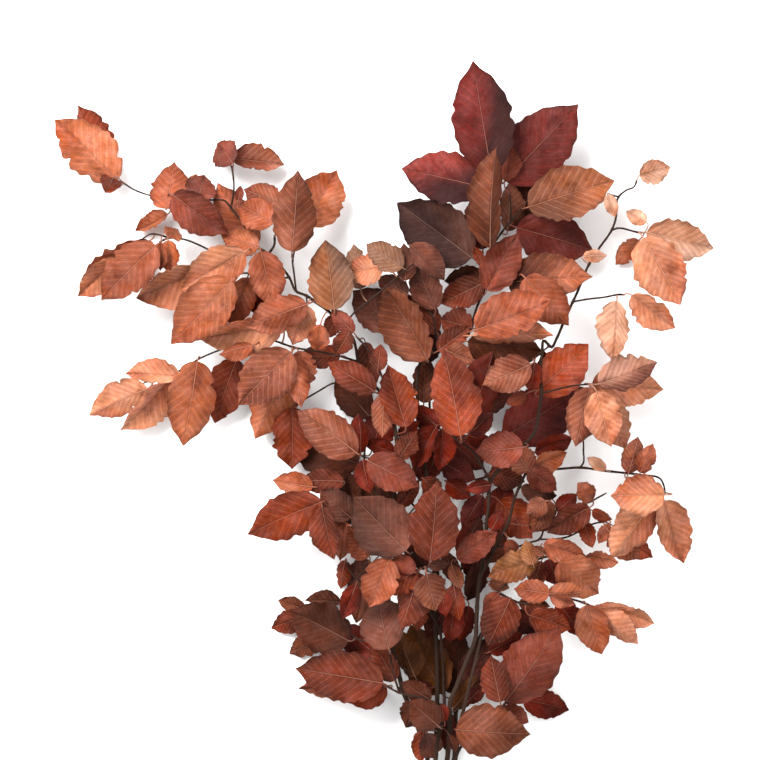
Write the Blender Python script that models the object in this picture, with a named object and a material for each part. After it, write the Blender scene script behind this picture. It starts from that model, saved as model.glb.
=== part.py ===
"""Bunch of preserved copper beech branches in leaf, lying flat on a table.

Metres, +Z up from the table; +Y runs from the cut ends to the leafy tops. Six leafy branches are
laid over one another, each one solid of stem, twigs, leaf stalks and blades. The leaves of a branch
are laid in their written order on a running height map of the pile, so that no blade, stalk or twig
of one branch runs into another branch.
"""
import math
import random

import bmesh
import bpy
import numpy as np
from mathutils import Vector

MM = 0.001
COLLECTION = "beech_bunch"
CELL = 1.6                      # grid of the height map, mm
X_LOW, X_HIGH = -360.0, 260.0   # reach of the height map, mm
Y_LOW, Y_HIGH = -20.0, 730.0
GAP = 2.2                       # clear height kept between two layers, mm
FLOOR = 0.5                     # lowest height of the middle of a blade, mm
BLADE = 0.7                     # blade thickness, mm
RIB = 1.0                       # thickness along the midrib, mm
STALK = 1.5                     # width of a leaf stalk, mm
KNEE = 2.5                      # straight end of a stalk behind its blade, mm
NATURAL = 1.5                   # length of a leaf over its width
STEP = 24.0                     # longest piece of a twig that is laid at once, mm
GATHER = 70.0                   # the stems lie side by side by hand up to this y, mm
STRAIGHT = 0.8                  # bend of a twig that is drawn straight, mm

# One row is one leaf: blade base x, y and tip x, y seen from above, visible width (mm), layer.
# Layer -1 lies under the twigs of its branch, 1 and 2 on top of them in rising order, and 3 also
# on top of the branch that crosses it.
BACK_LEAVES = (
    (-72, 350, -135, 372, 46, 1),
    (-62, 392, -93, 427, 30, 1),
    (28, 392, 68, 420, 20, 1),
    (8, 372, 40, 345, 28, 1),
    (2, 352, 32, 336, 24, 1),
    (-4, 338, -26, 360, 26, 1),
    (-2, 362, -12, 335, 20, 1),
    (-78, 298, -102, 306, 26, 1),
    (-60, 262, -82, 240, 24, 1),
    (38, 322, 20, 292, 20, 1),
    (20, 266, 46, 250, 22, 1),
    (14, 145, 18, 206, 20, 1),
    (24, 152, 42, 197, 26, 1),
    (12, 134, 34, 164, 20, 1),
    (2, 146, -26, 207, 42, 1),
    (26, 224, 18, 192, 16, 1),
    (62, 208, 104, 212, 24, 1),
    (-12, 440, -4, 476, 22, 1),
    (-58, 182, -88, 206, 30, 1),
    (34, 262, 25, 228, 16, 1),
    (-40, 300, -70, 334, 32, 1),
    (8, 226, -12, 196, 24, 1),
    (62, 398, 98, 378, 32, 1),
    (44, 300, 64, 332, 26, 1),
    (16, 402, 38, 440, 28, 1),
    (-60, 362, -50, 396, 30, 1),
    (-36, 312, -18, 336, 14, 1),
    (6, 334, 28, 320, 18, 1),
    (44, 342, 76, 334, 24, 1),
    (18, 268, 36, 304, 22, 1),
    (14, 246, 4, 274, 16, 1),
    (44, 262, 54, 298, 16, 1),
    (44, 184, 74, 200, 18, 1),
    (-6, 152, -38, 150, 16, 1),
    (24, 140, 40, 156, 14, 1),
    (-12, 256, -34, 282, 14, 1),
    (-22, 162, -38, 204, 18, 1),
    (10, 128, 6, 94, 12, 1),
)
CENTRE_LEAVES = (
    (-40, 470, -77, 504, 38, -1),
    (68, 572, 100, 610, 36, -1),
    (38, 540, 30, 588, 26, -1),
    (28, 532, -38, 581, 54, 1),
    (38, 594, -34, 611, 46, 1),
    (58, 600, 123, 669, 54, 1),
    (57, 600, 62, 634, 12, 1),
    (68, 559, 136, 539, 46, 1),
    (38, 525, 30, 542, 10, 1),
    (38, 510, 0, 492, 28, 1),
    (28, 470, 0, 478, 30, 1),
    (-4, 487, -22, 529, 28, 1),
    (-28, 500, -56, 515, 20, 1),
    (-2, 450, 26, 472, 18, 1),
    (0, 382, -24, 402, 18, 1),
    (-3, 384, -22, 345, 16, 1),
    (2, 382, -2, 345, 14, 1),
    (45, 608, 29, 706, 53, 2),
    (44, 540, 49, 628, 19, 2),
    (78, 577, 155, 601, 47, 2),
    (-11, 442, -50, 508, 30, 2),
    (60, 510, 134, 515, 38, 3),
    (74, 514, 112, 472, 36, 3),
    (41, 503, 68, 553, 34, 3),
    (28, 463, 98, 463, 16, 3),
    (30, 468, 97, 494, 34, 3),
    (24, 458, 92, 449, 24, 1),
    (-2, 466, -34, 500, 22, -1),
    (40, 516, 4, 512, 22, -1),
    (60, 556, 62, 600, 16, -1),
    (-14, 404, -12, 446, 20, -1),
    (6, 450, 30, 440, 22, 1),
)
LEFT_LEAVES = (
    (-303, 614, -322, 669, 18, -1),
    (-242, 572, -271, 557, 9, -1),
    (-222, 590, -216, 608, 14, -1),
    (-163, 545, -197, 600, 24, -1),
    (-140, 580, -174, 594, 26, -1),
    (-184, 621, -138, 616, 17, -1),
    (-118, 562, -91, 611, 43, -1),
    (-258, 548, -320, 514, 22, -1),
    (-284, 532, -322, 499, 17, -1),
    (-165, 517, -160, 480, 24, -1),
    (-180, 443, -200, 386, 36, -1),
    (-238, 427, -284, 380, 18, -1),
    (-134, 440, -164, 372, 38, -1),
    (-131, 400, -131, 345, 38, -1),
    (-120, 220, -144, 228, 12, -1),
    (-118, 214, -150, 203, 22, -1),
    (-88, 226, -120, 228, 8, -1),
    (-84, 264, -88, 238, 11, -1),
    (-286, 601, -342, 656, 39, 1),
    (-288, 602, -296, 590, 20, 1),
    (-242, 576, -236, 619, 35, 1),
    (-213, 584, -209, 607, 28, 1),
    (-160, 541, -193, 552, 26, 1),
    (-147, 562, -178, 580, 30, 1),
    (-178, 583, -176, 596, 8, 1),
    (-183, 616, -198, 636, 27, 1),
    (-240, 551, -232, 558, 18, 1),
    (-240, 548, -237, 517, 16, 1),
    (-246, 546, -247, 521, 12, 1),
    (-266, 541, -253, 546, 9, 1),
    (-205, 522, -269, 497, 23, 1),
    (-170, 515, -185, 470, 26, 1),
    (-185, 500, -200, 470, 14, 1),
    (-140, 470, -213, 461, 18, 1),
    (-117, 490, -130, 455, 26, 1),
    (-105, 473, -108, 450, 20, 1),
    (-76, 466, -96, 487, 16, 1),
    (-230, 427, -279, 430, 13, 1),
    (-258, 417, -310, 393, 24, 1),
    (-165, 455, -195, 447, 10, 1),
    (-57, 414, -99, 440, 26, 1),
    (-125, 450, -118, 418, 26, 1),
    (-130, 446, -122, 400, 26, 1),
    (-50, 413, -51, 374, 20, 1),
    (-55, 432, -52, 456, 16, 1),
    (-80, 466, -92, 446, 18, 1),
    (-70, 360, -72, 395, 12, 1),
    (-36, 356, -20, 380, 20, 1),
    (-85, 335, -125, 335, 20, 1),
    (-112, 330, -148, 336, 18, 1),
    (-78, 302, -106, 328, 26, 1),
    (-62, 268, -82, 296, 27, 1),
    (-80, 193, -133, 220, 44, 1),
    (-74, 243, -86, 213, 18, 1),
    (-50, 524, -84, 520, 28, 1),
    (-33, 523, -65, 544, 26, 1),
    (-26, 543, 4, 512, 20, 1),
    (-104, 317, -170, 288, 40, 1),
    (-104, 313, -93, 266, 20, 1),
    (-236, 588, -186, 554, 30, 2),
    (-172, 537, -229, 504, 34, 2),
    (-183, 512, -237, 456, 45, 2),
    (-158, 538, -147, 489, 32, 2),
    (-250, 543, -299, 495, 41, 2),
    (-130, 537, -125, 609, 38, 2),
    (-117, 491, -170, 470, 30, 2),
    (-93, 486, -101, 548, 40, 2),
    (-214, 441, -227, 366, 42, 2),
    (-131, 449, -178, 402, 44, 2),
    (-73, 360, -126, 398, 34, 2),
    (-30, 383, -46, 438, 27, 2),
    (-30, 512, -32, 545, 16, -1),
    (-70, 505, -76, 545, 24, -1),
    (-88, 446, -126, 446, 22, -1),
    (-66, 458, -55, 422, 14, -1),
    (-74, 314, -84, 345, 18, -1),
    (-104, 196, -134, 180, 22, -1),
    (-64, 240, -74, 208, 16, -1),
    (-84, 300, -88, 264, 14, -1),
    (-90, 482, -101, 461, 16, -1),
    (-40, 360, -66, 370, 14, -1),
    (-36, 374, -18, 388, 14, -1),
)
RIGHT_LEAVES = (
    (135, 421, 199, 416, 37, -1),
    (178, 549, 157, 527, 18, -1),
    (57, 374, 128, 418, 50, -1),
    (90, 418, 91, 450, 12, -1),
    (52, 318, 82, 284, 34, -1),
    (20, 378, 46, 450, 30, -1),
    (84, 414, 130, 456, 40, -1),
    (183, 564, 165, 574, 14, 1),
    (178, 606, 206, 614, 22, 1),
    (148, 588, 155, 568, 12, 1),
    (126, 533, 147, 534, 11, 1),
    (183, 555, 243, 541, 36, 1),
    (168, 499, 207, 470, 21, 1),
    (155, 494, 152, 441, 19, 1),
    (134, 414, 163, 363, 28, 1),
    (130, 418, 118, 366, 30, 1),
    (136, 414, 149, 366, 32, 1),
    (165, 343, 173, 375, 20, 1),
    (175, 343, 186, 369, 17, 1),
    (147, 345, 130, 356, 11, 1),
    (78, 346, 112, 361, 14, 1),
    (78, 345, 103, 327, 22, 1),
    (103, 309, 121, 324, 16, 1),
    (97, 318, 82, 290, 22, 1),
    (92, 318, 76, 305, 18, 1),
    (135, 318, 121, 334, 18, 1),
    (135, 309, 153, 301, 7, 1),
    (127, 299, 135, 276, 15, 1),
    (150, 297, 140, 280, 12, 1),
    (158, 292, 190, 267, 14, 1),
    (150, 290, 177, 266, 26, 1),
    (189, 320, 150, 268, 29, 1),
    (82, 440, 78, 413, 16, 1),
    (75, 413, 57, 403, 12, 1),
    (25, 378, 46, 396, 18, 1),
    (24, 382, 26, 418, 14, 1),
    (45, 332, 22, 328, 13, 1),
    (45, 292, 55, 310, 13, 1),
    (60, 284, 66, 267, 14, 1),
    (78, 345, 63, 367, 24, 1),
    (72, 366, 30, 362, 32, 1),
    (132, 312, 94, 290, 20, 1),
    (178, 549, 210, 490, 45, 2),
    (138, 421, 190, 440, 25, 2),
    (198, 318, 216, 262, 24, 2),
    (196, 324, 149, 323, 36, 2),
    (78, 438, 36, 420, 32, 2),
    (17, 376, 2, 452, 36, 2),
    (84, 360, 118, 374, 16, -1),
    (72, 330, 104, 322, 14, -1),
    (78, 296, 108, 300, 14, -1),
    (24, 376, 48, 366, 12, -1),
)
LOW_RIGHT_LEAVES = (
    (105, 228, 128, 197, 22, -1),
    (97, 266, 106, 241, 22, -1),
    (75, 140, 116, 130, 26, -1),
    (128, 269, 157, 264, 13, 1),
    (91, 280, 130, 268, 20, 1),
    (104, 266, 140, 236, 38, 1),
    (85, 268, 42, 251, 28, 1),
    (82, 262, 75, 284, 16, 1),
    (92, 271, 81, 278, 9, 1),
    (52, 236, 38, 223, 13, 1),
    (94, 238, 127, 239, 9, 1),
    (96, 236, 118, 229, 8, 1),
    (135, 222, 168, 224, 8, 1),
    (158, 220, 190, 209, 15, 1),
    (142, 219, 175, 191, 15, 1),
    (129, 226, 143, 182, 31, 1),
    (79, 217, 116, 204, 25, 1),
    (95, 238, 64, 242, 21, 2),
    (62, 232, 42, 190, 35, 2),
    (55, 133, 79, 121, 20, 1),
    (14, 117, 80, 112, 48, 1),
    (58, 140, 106, 207, 51, 2),
    (53, 141, 45, 182, 27, 2),
    (70, 228, 98, 224, 12, -1),
    (44, 246, 62, 240, 12, -1),
    (90, 264, 82, 240, 18, -1),
)
LOW_LEFT_LEAVES = (
    (-14, 114, -17, 84, 12, -1),
    (-12, 112, -5, 88, 22, -1),
    (-47, 152, -83, 138, 13, -1),
    (-50, 153, -126, 149, 16, -1),
    (-40, 158, -60, 194, 20, -1),
    (4, 124, 2, 139, 12, 1),
    (-2, 122, -27, 142, 28, 1),
    (8, 112, 14, 97, 10, 1),
    (-50, 157, -128, 169, 44, 1),
    (-45, 189, -54, 232, 41, 1),
    (-68, 354, -62, 325, 20, 1),
    (12, 226, 8, 192, 16, 1),
    (12, 244, 17, 213, 14, 1),
    (10, 262, 19, 240, 13, 1),
    (2, 237, 5, 217, 16, 1),
    (-19, 234, -20, 203, 15, 1),
    (-19, 256, -35, 206, 18, 1),
    (-20, 257, -52, 240, 26, 1),
    (-22, 256, -42, 272, 15, 1),
    (-10, 261, 8, 263, 9, 1),
    (-15, 338, 0, 322, 18, 1),
    (-44, 268, -62, 225, 32, 2),
    (-12, 255, -4, 222, 29, 2),
    (-64, 354, -18, 331, 32, 2),
    (-30, 275, -76, 322, 50, 2),
    (-9, 266, -3, 335, 44, 2),
    (15, 267, 51, 291, 24, 2),
    (-20, 142, -30, 116, 22, -1),
    (-8, 142, -34, 158, 18, -1),
)
# One entry is one stem or twig: its x, y, height points (mm), radius at the start and at the end.
# The first entry of a branch is its stem; the others start on the nearest earlier one.
BACK_TWIGS = (
    (((5.4, -4, 2.1), (5.4, 40, 2.1), (14, 92, 4), (15, 150, 8), (4, 220, 11), (-10, 300, 14),
      (-8, 380, 17), (-10, 440, 18), (-8, 462, 18)), 2.5, 1.0),
    (((-12, 300, 14), (8, 330, 16), (26, 378, 16), (16, 402, 16)), 1.2, 0.9),
    (((8, 330, 16), (44, 340, 15), (60, 392, 14)), 1.1, 0.9),
    (((4, 220, 11), (-44, 262, 12), (-78, 298, 12)), 1.2, 0.9),
    (((-12, 300, 14), (-46, 340, 14), (-66, 352, 14), (-64, 388, 13)), 1.2, 0.9),
    (((15, 150, 8), (26, 172, 10), (38, 200, 10), (60, 208, 10)), 1.2, 0.9),
    (((15, 150, 8), (-2, 158, 8), (-34, 172, 8), (-56, 182, 8)), 1.2, 0.9),
    (((4, 220, 11), (14, 240, 14), (22, 264, 15), (38, 300, 15)), 1.1, 0.9),
)
CENTRE_TWIGS = (
    (((-5.4, -4, 2.1), (-5.4, 40, 2.1), (-3, 94, 6), (-2, 150, 14), (-4, 220, 22), (-6, 300, 30),
      (-16, 370, 36), (-19, 398, 38), (-20, 420, 39), (-17, 440, 40), (-8, 450, 41), (10, 455, 42),
      (20, 463, 42), (27, 468, 42), (30, 480, 42), (34, 492, 42), (39, 503, 42), (41, 512, 42),
      (42, 530, 42), (45, 540, 42), (50, 548, 41), (57, 558, 40), (63, 565, 39), (74, 577, 36)),
     2.5, 0.9),
    (((45, 540, 42), (45, 565, 34), (44, 594, 24), (45, 604, 20)), 1.1, 0.9),
    (((63, 565, 39), (62, 590, 28)), 1.0, 0.9),
    (((42, 530, 42), (29, 533, 40)), 1.0, 0.9),
    (((-12, 448, 41), (-24, 462, 38), (-36, 470, 34)), 1.0, 0.9),
    (((-2, 452, 41), (-6, 480, 40), (-24, 500, 36)), 1.0, 0.9),
    (((-16, 370, 36), (-3, 383, 36)), 1.0, 0.9),
    (((41, 510, 42), (56, 511, 43), (72, 514, 43)), 1.0, 0.9),
)
LEFT_TWIGS = (
    (((-10.6, -4, 2.1), (-10.6, 40, 2.1), (-11, 94, 5), (-25, 132, 10), (-33, 150, 13),
      (-38, 174, 16), (-42, 187, 18), (-45, 230, 24), (-43, 290, 32), (-37, 355, 40),
      (-38, 370, 41), (-40, 385, 42), (-43, 397, 42), (-46, 405, 42), (-52, 413, 42),
      (-58, 420, 42), (-65, 430, 42), (-72, 441, 42), (-74, 452, 42), (-77, 462, 42),
      (-90, 475, 42), (-97, 484, 41), (-118, 499, 40), (-127, 503, 39), (-133, 515, 38),
      (-145, 530, 37), (-160, 541, 36), (-172, 560, 34), (-185, 577, 32), (-190, 583, 31),
      (-205, 584, 26), (-240, 584.5, 20), (-262, 590, 14), (-272, 594, 11), (-283, 601, 8)),
     2.5, 0.8),
    (((-43, 397, 42), (-48, 418, 42), (-55, 437, 42), (-62, 450, 41), (-74, 463, 41)), 1.1, 0.9),
    (((-145, 530, 37), (-158, 540, 36), (-172, 541, 35), (-185, 537, 34), (-200, 538, 33),
      (-213, 544, 28), (-226, 549, 24), (-240, 550.5, 20), (-249, 547, 17)), 1.1, 0.9),
    (((-240, 550.5, 20), (-248, 553, 17), (-256, 554, 14), (-264, 549, 12), (-272, 545, 10)),
     0.9, 0.7),
    (((-133, 515, 38), (-153, 514, 36), (-172, 519, 34), (-184, 516, 33), (-200, 508, 32)),
     1.0, 0.8),
    (((-118, 499, 40), (-117, 491, 40)), 1.0, 0.9),
    (((-127, 503, 39), (-130, 531, 38), (-124, 556, 36)), 1.0, 0.9),
    (((-172, 560, 34), (-150, 566, 33), (-140, 577, 32)), 1.0, 0.9),
    (((-184, 577, 32), (-182, 594, 30), (-184, 614, 27)), 1.0, 0.9),
    (((-152, 535, 37), (-146, 544, 38), (-146, 552, 39)), 1.3, 1.2),
    (((-72, 440, 42), (-80, 443, 41), (-90, 446, 40), (-110, 450, 38), (-128, 453, 37),
      (-150, 460, 34), (-165, 461, 31), (-178, 457, 28), (-195, 451, 24), (-212, 444, 20),
      (-230, 433, 16), (-238, 428, 14), (-250, 425, 11), (-258, 423, 9), (-268, 420, 7)),
     1.2, 0.7),
    (((-84, 470, 41), (-78, 481, 40), (-60, 496, 39), (-48, 506, 38), (-38, 515, 37),
      (-28, 523, 36), (-18, 530, 35)), 1.1, 0.9),
    (((-37, 355, 40), (-65, 356, 38), (-73, 360, 37)), 1.0, 0.9),
    (((-50, 413, 42), (-92, 422, 36), (-108, 414, 30), (-128, 402, 26)), 1.0, 0.9),
    (((-43, 295, 33), (-62, 304, 32), (-80, 312, 30), (-104, 314, 28)), 1.1, 0.9),
    (((-80, 312, 30), (-88, 328, 28), (-108, 331, 26)), 1.0, 0.9),
    (((-45, 225, 24), (-60, 246, 24), (-64, 264, 24)), 1.0, 0.9),
    (((-60, 246, 24), (-72, 247, 24), (-83, 262, 22)), 1.0, 0.9),
    (((-42, 187, 18), (-60, 192, 18), (-78, 197, 18), (-100, 214, 14), (-116, 218, 12)), 1.1, 0.9),
)
RIGHT_TWIGS = (
    (((0, -4, 2.2517), (0, 40, 2.2517), (4, 62, 3.6), (7, 90, 7), (8.5, 115, 10), (9, 140, 14),
      (20, 168, 19), (31, 194, 25), (34, 239, 34), (40, 281, 42), (43, 315, 48), (44.5, 335, 50),
      (60, 356, 52), (77, 371, 53), (83, 380, 54), (86, 398, 54), (88, 413, 54), (87, 435, 53),
      (90, 459, 52), (97, 453, 52), (101, 460, 51), (110, 480, 50), (121, 503, 48),
      (130, 524, 42), (140, 540, 36), (152, 557, 30), (156, 568, 26), (157, 582, 20),
      (159, 587, 18), (166, 593, 14), (173, 596, 11), (176, 603, 8)), 2.6, 0.9),
    (((44.5, 335, 50), (36, 350, 52), (28.5, 362, 53), (12.6, 374, 54), (8, 380, 54)), 1.4, 1.0),
    (((152, 557, 30), (158, 558.5, 28), (176, 555, 20), (183, 555, 16)), 1.0, 0.9),
    (((116, 493, 46), (128, 495, 42), (144, 497, 34), (158, 499.5, 26), (162, 499, 24)), 1.0, 0.9),
    (((159, 587, 18), (150, 588, 17)), 1.0, 0.9),
    (((36, 252, 36), (42, 262, 38), (50, 278, 41), (60, 298, 44), (66, 320, 46), (70, 330, 47),
      (79, 345, 48), (90, 345, 46), (124, 347, 38), (146, 344, 32), (164, 342, 26),
      (180, 340, 20), (196, 337, 14), (200, 330, 11), (201, 322, 9)), 1.7, 0.9),
    (((124, 347, 38), (127, 352, 38), (127, 361, 37), (127, 370, 36), (123, 386, 36)), 1.0, 0.9),
    (((88, 413, 54), (113, 419, 46), (131, 421, 38)), 1.0, 0.9),
    (((50, 278, 41), (66, 277, 41), (80, 281, 40), (88, 284, 40), (93, 295, 40), (104, 310, 39),
      (118, 314, 36), (132, 316, 30), (140, 320, 26), (148, 324, 22)), 1.1, 0.9),
    (((88, 284, 40), (100, 284, 37), (113, 286, 33), (128, 293, 28), (136, 297, 25),
      (148, 299, 22)), 1.0, 0.9),
    (((94, 453, 52), (78, 441, 50)), 1.0, 0.9),
)
LOW_RIGHT_TWIGS = (
    (((2.7, -4, 6.66), (2.7, 40, 6.66), (8, 62, 9.5), (14, 90, 13), (18, 122, 19), (27, 160, 27),
      (36, 195, 35), (44, 222, 41), (50, 236, 44), (66, 229, 46), (78, 227, 46), (88, 233, 46),
      (100, 235, 42), (115, 231, 34), (128, 227, 27), (136, 223, 22), (143, 219, 18),
      (156, 220, 12)), 2.2, 0.9),
    (((14, 90, 13), (20, 103, 15), (36, 117, 18), (54, 133, 20), (60, 139, 20)), 1.5, 1.0),
    (((60, 139, 20), (72, 138, 19)), 1.0, 0.9),
    (((50, 236, 44), (62, 248, 45), (68, 254, 45), (80, 262, 45), (92, 268, 44), (104, 268, 42),
      (126, 269, 40)), 1.1, 0.9),
)
LOW_LEFT_TWIGS = (
    (((-8, -4, 6.0), (-8, 40, 6.0), (-6, 69, 10.5), (-2, 104, 16), (4, 136, 22), (3, 170, 30),
      (0, 204, 40), (-9, 221, 45), (-12, 240, 49), (-12, 261, 52)), 2.3, 1.1),
    (((0, 204, 40), (8, 230, 46), (12, 250, 50), (13, 268, 53)), 1.2, 0.9),
    (((-12, 261, 52), (-24, 272, 54), (-40, 292, 56), (-56, 324, 56), (-66, 354, 54)), 1.2, 0.9),
    (((-12, 261, 52), (-22, 257, 52), (-44, 267, 50)), 1.0, 0.9),
    (((4, 136, 22), (-18, 145, 22), (-36, 149, 24), (-48, 155, 24)), 1.3, 1.0),
    (((-36, 149, 24), (-41, 168, 26), (-45, 187, 28)), 1.0, 0.9),
    (((-12, 240, 49), (-18, 236, 48)), 1.0, 0.9),
    (((-40, 292, 56), (-16, 312, 58), (-14, 336, 58)), 1.0, 0.9),
)


class Pile:
    """Running height map of everything laid so far."""

    def __init__(self):
        self.nx = int((X_HIGH - X_LOW) / CELL) + 3
        self.ny = int((Y_HIGH - Y_LOW) / CELL) + 3
        self.top = np.full((self.nx, self.ny), FLOOR - GAP)

    def cells(self, x, y):
        """Map coordinates in mm to cell numbers."""
        ix = np.clip(((x - X_LOW) / CELL).astype(int), 1, self.nx - 2)
        iy = np.clip(((y - Y_LOW) / CELL).astype(int), 1, self.ny - 2)
        return ix, iy

    def lift(self, points):
        """Height by which the points must rise to clear the pile."""
        ix, iy = self.cells(points[:, 0], points[:, 1])
        return float(np.max(self.top[ix, iy] + GAP - points[:, 2]))

    def add(self, points):
        """Raise the map to the points and their neighbour cells."""
        ix, iy = self.cells(points[:, 0], points[:, 1])
        for dx in (-1, 0, 1):
            for dy in (-1, 0, 1):
                np.maximum.at(self.top, (ix + dx, iy + dy), points[:, 2])


class Leaf:
    """Middle surface of one blade, bowed, folded and waved."""

    def __init__(self, row, seed):
        x0, y0, x1, y1, width, self.layer = row[:6]
        draw = random.Random(seed)
        reach = math.hypot(x1 - x0, y1 - y0)
        self.ux = (x1 - x0) / reach
        self.uy = (y1 - y0) / reach
        self.base = [float(x0), float(y0), 0.0]
        ratio = reach / width
        self.pitch = math.radians(draw.uniform(4.0, 11.0))
        self.roll = math.radians(draw.uniform(3.0, 13.0))
        fold = draw.uniform(0.08, 0.20)
        if ratio < 1.3:
            self.pitch = math.acos(max(ratio / NATURAL, 0.55))
        self.width = float(width)
        if ratio > 1.9:
            self.width = min(reach / 1.75, 1.9 * width)
            angle = math.acos(width / self.width)
            fold = math.tan(0.62 * angle)
            self.roll = 0.5 * angle
        self.length = reach / math.cos(self.pitch)
        self.fold = fold * draw.choice((1.0, 1.0, -1.0))
        self.bow = draw.uniform(0.02, 0.07) * draw.choice((1.0, -1.0))
        self.curl = draw.uniform(-0.13, 0.13)
        self.wave = draw.uniform(0.02, 0.045) * min(self.width, 36.0)
        self.phase = draw.uniform(0.0, 6.28)
        self.seed = seed

    def half(self, t):
        """Half width of the blade at t from base 0 to tip 1."""
        rise = np.sqrt(np.clip(1.0 - ((0.44 - t) / 0.44) ** 2, 0.0, 1.0)) ** 1.05
        fall = np.cos(0.5 * np.pi * np.clip((t - 0.44) / 0.56, 0.0, 1.0)) ** 0.82
        return 0.5 * self.width * np.where(t < 0.44, rise, fall)

    def surface(self, t, s):
        """Points for t along the blade and s across it from -1 to 1, before the lift."""
        h = self.half(t)
        side = np.abs(s)
        u = self.length * t
        v = s * h * (1.0 + 0.04 * side * np.sin(41.0 * t + self.phase))
        n = 4.0 * t * (1.0 - t) * self.bow * self.length
        n = n + (self.fold * side + self.curl * s * s) * h
        n = n + self.wave * side ** 1.5 * np.sin(17.0 * t + self.phase + s) * np.sin(np.pi * t)
        cr, sr = math.cos(self.roll), math.sin(self.roll)
        cp, sp = math.cos(self.pitch), math.sin(self.pitch)
        across = v * cr - n * sr
        normal = v * sr + n * cr
        along = u * cp - normal * sp
        z = u * sp + normal * cp
        x = self.base[0] + along * self.ux - across * self.uy
        y = self.base[1] + along * self.uy + across * self.ux
        return np.stack([x, y, z + self.base[2]], axis=-1)

    def samples(self):
        """Dense points of the blade for the height map."""
        rows = max(int(self.length / 1.2), 8)
        cols = max(int(self.width / 1.2), 6)
        t, s = np.meshgrid(np.linspace(0.0, 1.0, rows), np.linspace(-1.0, 1.0, cols))
        return self.surface(t.ravel(), s.ravel())

    def lay(self, pile, wanted):
        """Choose the slopes that lie lowest and lift the blade clear of the pile."""
        best = None
        pitch, roll = self.pitch, self.roll
        for up in (-1.0, 1.0):
            for side in (1.0, -1.0):
                self.pitch, self.roll = up * pitch, side * roll
                points = self.samples()
                rise = max(pile.lift(points), wanted)
                level = rise + float(points[:, 2].mean())
                if best is None or level < best[0] - 0.01:
                    best = (level, self.pitch, self.roll, rise)
        self.pitch, self.roll, self.base[2] = best[1], best[2], best[3]
        pile.add(self.samples())


class Twig:
    """Stem or twig as a line of points with a radius."""

    def __init__(self, entry):
        points, first, last = entry
        self.points = [tuple(float(c) for c in points[0])]
        for a, b in zip(points, points[1:]):
            pieces = max(int(math.ceil(math.hypot(b[0] - a[0], b[1] - a[1]) / STEP)), 1)
            for k in range(1, pieces + 1):
                f = k / pieces
                self.points.append(tuple(a[i] + f * (b[i] - a[i]) for i in range(3)))
        count = len(self.points) - 1
        self.radii = [first + (last - first) * i / count for i in range(count + 1)]
        for i, point in enumerate(self.points):
            if point[1] <= 40.0:
                self.radii[i] = first

    def line(self, i, step=1.2):
        """Dense points of the straight piece that starts at point i."""
        a = np.array(self.points[i])
        b = np.array(self.points[i + 1])
        n = max(int(np.linalg.norm(b - a) / step), 2)
        points = a + np.linspace(0.0, 1.0, n)[:, None] * (b - a)
        return points[points[:, 1] > GATHER]

    def simplify(self):
        """Drop the points that lie within a small distance of a straight piece."""
        keep = {0, len(self.points) - 1}
        spans = [(0, len(self.points) - 1)]
        while spans:
            a, b = spans.pop()
            if b - a < 2:
                continue
            start = np.array(self.points[a])
            way = np.array(self.points[b]) - start
            inner = np.array(self.points[a + 1:b]) - start
            f = np.clip(inner @ way / (way @ way), 0.0, 1.0)
            away = np.linalg.norm(inner - f[:, None] * way, axis=1)
            k = int(np.argmax(away))
            if away[k] > STRAIGHT:
                keep.add(a + 1 + k)
                spans += [(a, a + 1 + k), (a + 1 + k, b)]
        order = sorted(keep)
        self.points = [self.points[i] for i in order]
        self.radii = [self.radii[i] for i in order]

    def lay(self, pile, start):
        """Lift the points clear of the pile with an even slope and add them to it."""
        z = [p[2] for p in self.points]
        fixed = [p[1] <= GATHER for p in self.points]
        if start is not None:
            self.points[0] = start
            z[0] = start[2]
            fixed[0] = True
        for i in range(len(z) - 1):
            line = self.line(i)
            if len(line) == 0:
                continue
            line[:, 2] = -self.radii[i]
            need = pile.lift(line)
            for k in (i, i + 1):
                if not fixed[k]:
                    z[k] = max(z[k], need)
        for _ in range(len(z)):
            for i in range(len(z) - 1):
                a, b = self.points[i], self.points[i + 1]
                slack = 0.45 * math.hypot(b[0] - a[0], b[1] - a[1])
                if not fixed[i]:
                    z[i] = max(z[i], z[i + 1] - slack)
                if not fixed[i + 1]:
                    z[i + 1] = max(z[i + 1], z[i] - slack)
        self.points = [(p[0], p[1], h) for p, h in zip(self.points, z)]
        self.simplify()
        for i in range(len(self.points) - 1):
            line = self.line(i)
            if len(line):
                line[:, 2] += self.radii[i]
                pile.add(line)


def nearest(twigs, x, y):
    """Point of the twigs nearest to x, y seen from above, with its radius."""
    best = None
    for twig in twigs:
        for i in range(len(twig.points) - 1):
            a, b = twig.points[i], twig.points[i + 1]
            dx, dy = b[0] - a[0], b[1] - a[1]
            f = ((x - a[0]) * dx + (y - a[1]) * dy) / max(dx * dx + dy * dy, 1e-9)
            f = min(max(f, 0.0), 1.0)
            if twig.points[i][1] < 60.0:
                continue
            if i == len(twig.points) - 2:
                f = min(f, 1.0 - 1.7 / max(math.hypot(dx, dy), 3.4))
            px, py = a[0] + f * dx, a[1] + f * dy
            gap = math.hypot(px - x, py - y)
            if best is None or gap < best[0]:
                best = (gap, (px, py, a[2] + f * (b[2] - a[2])))
    return best


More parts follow.
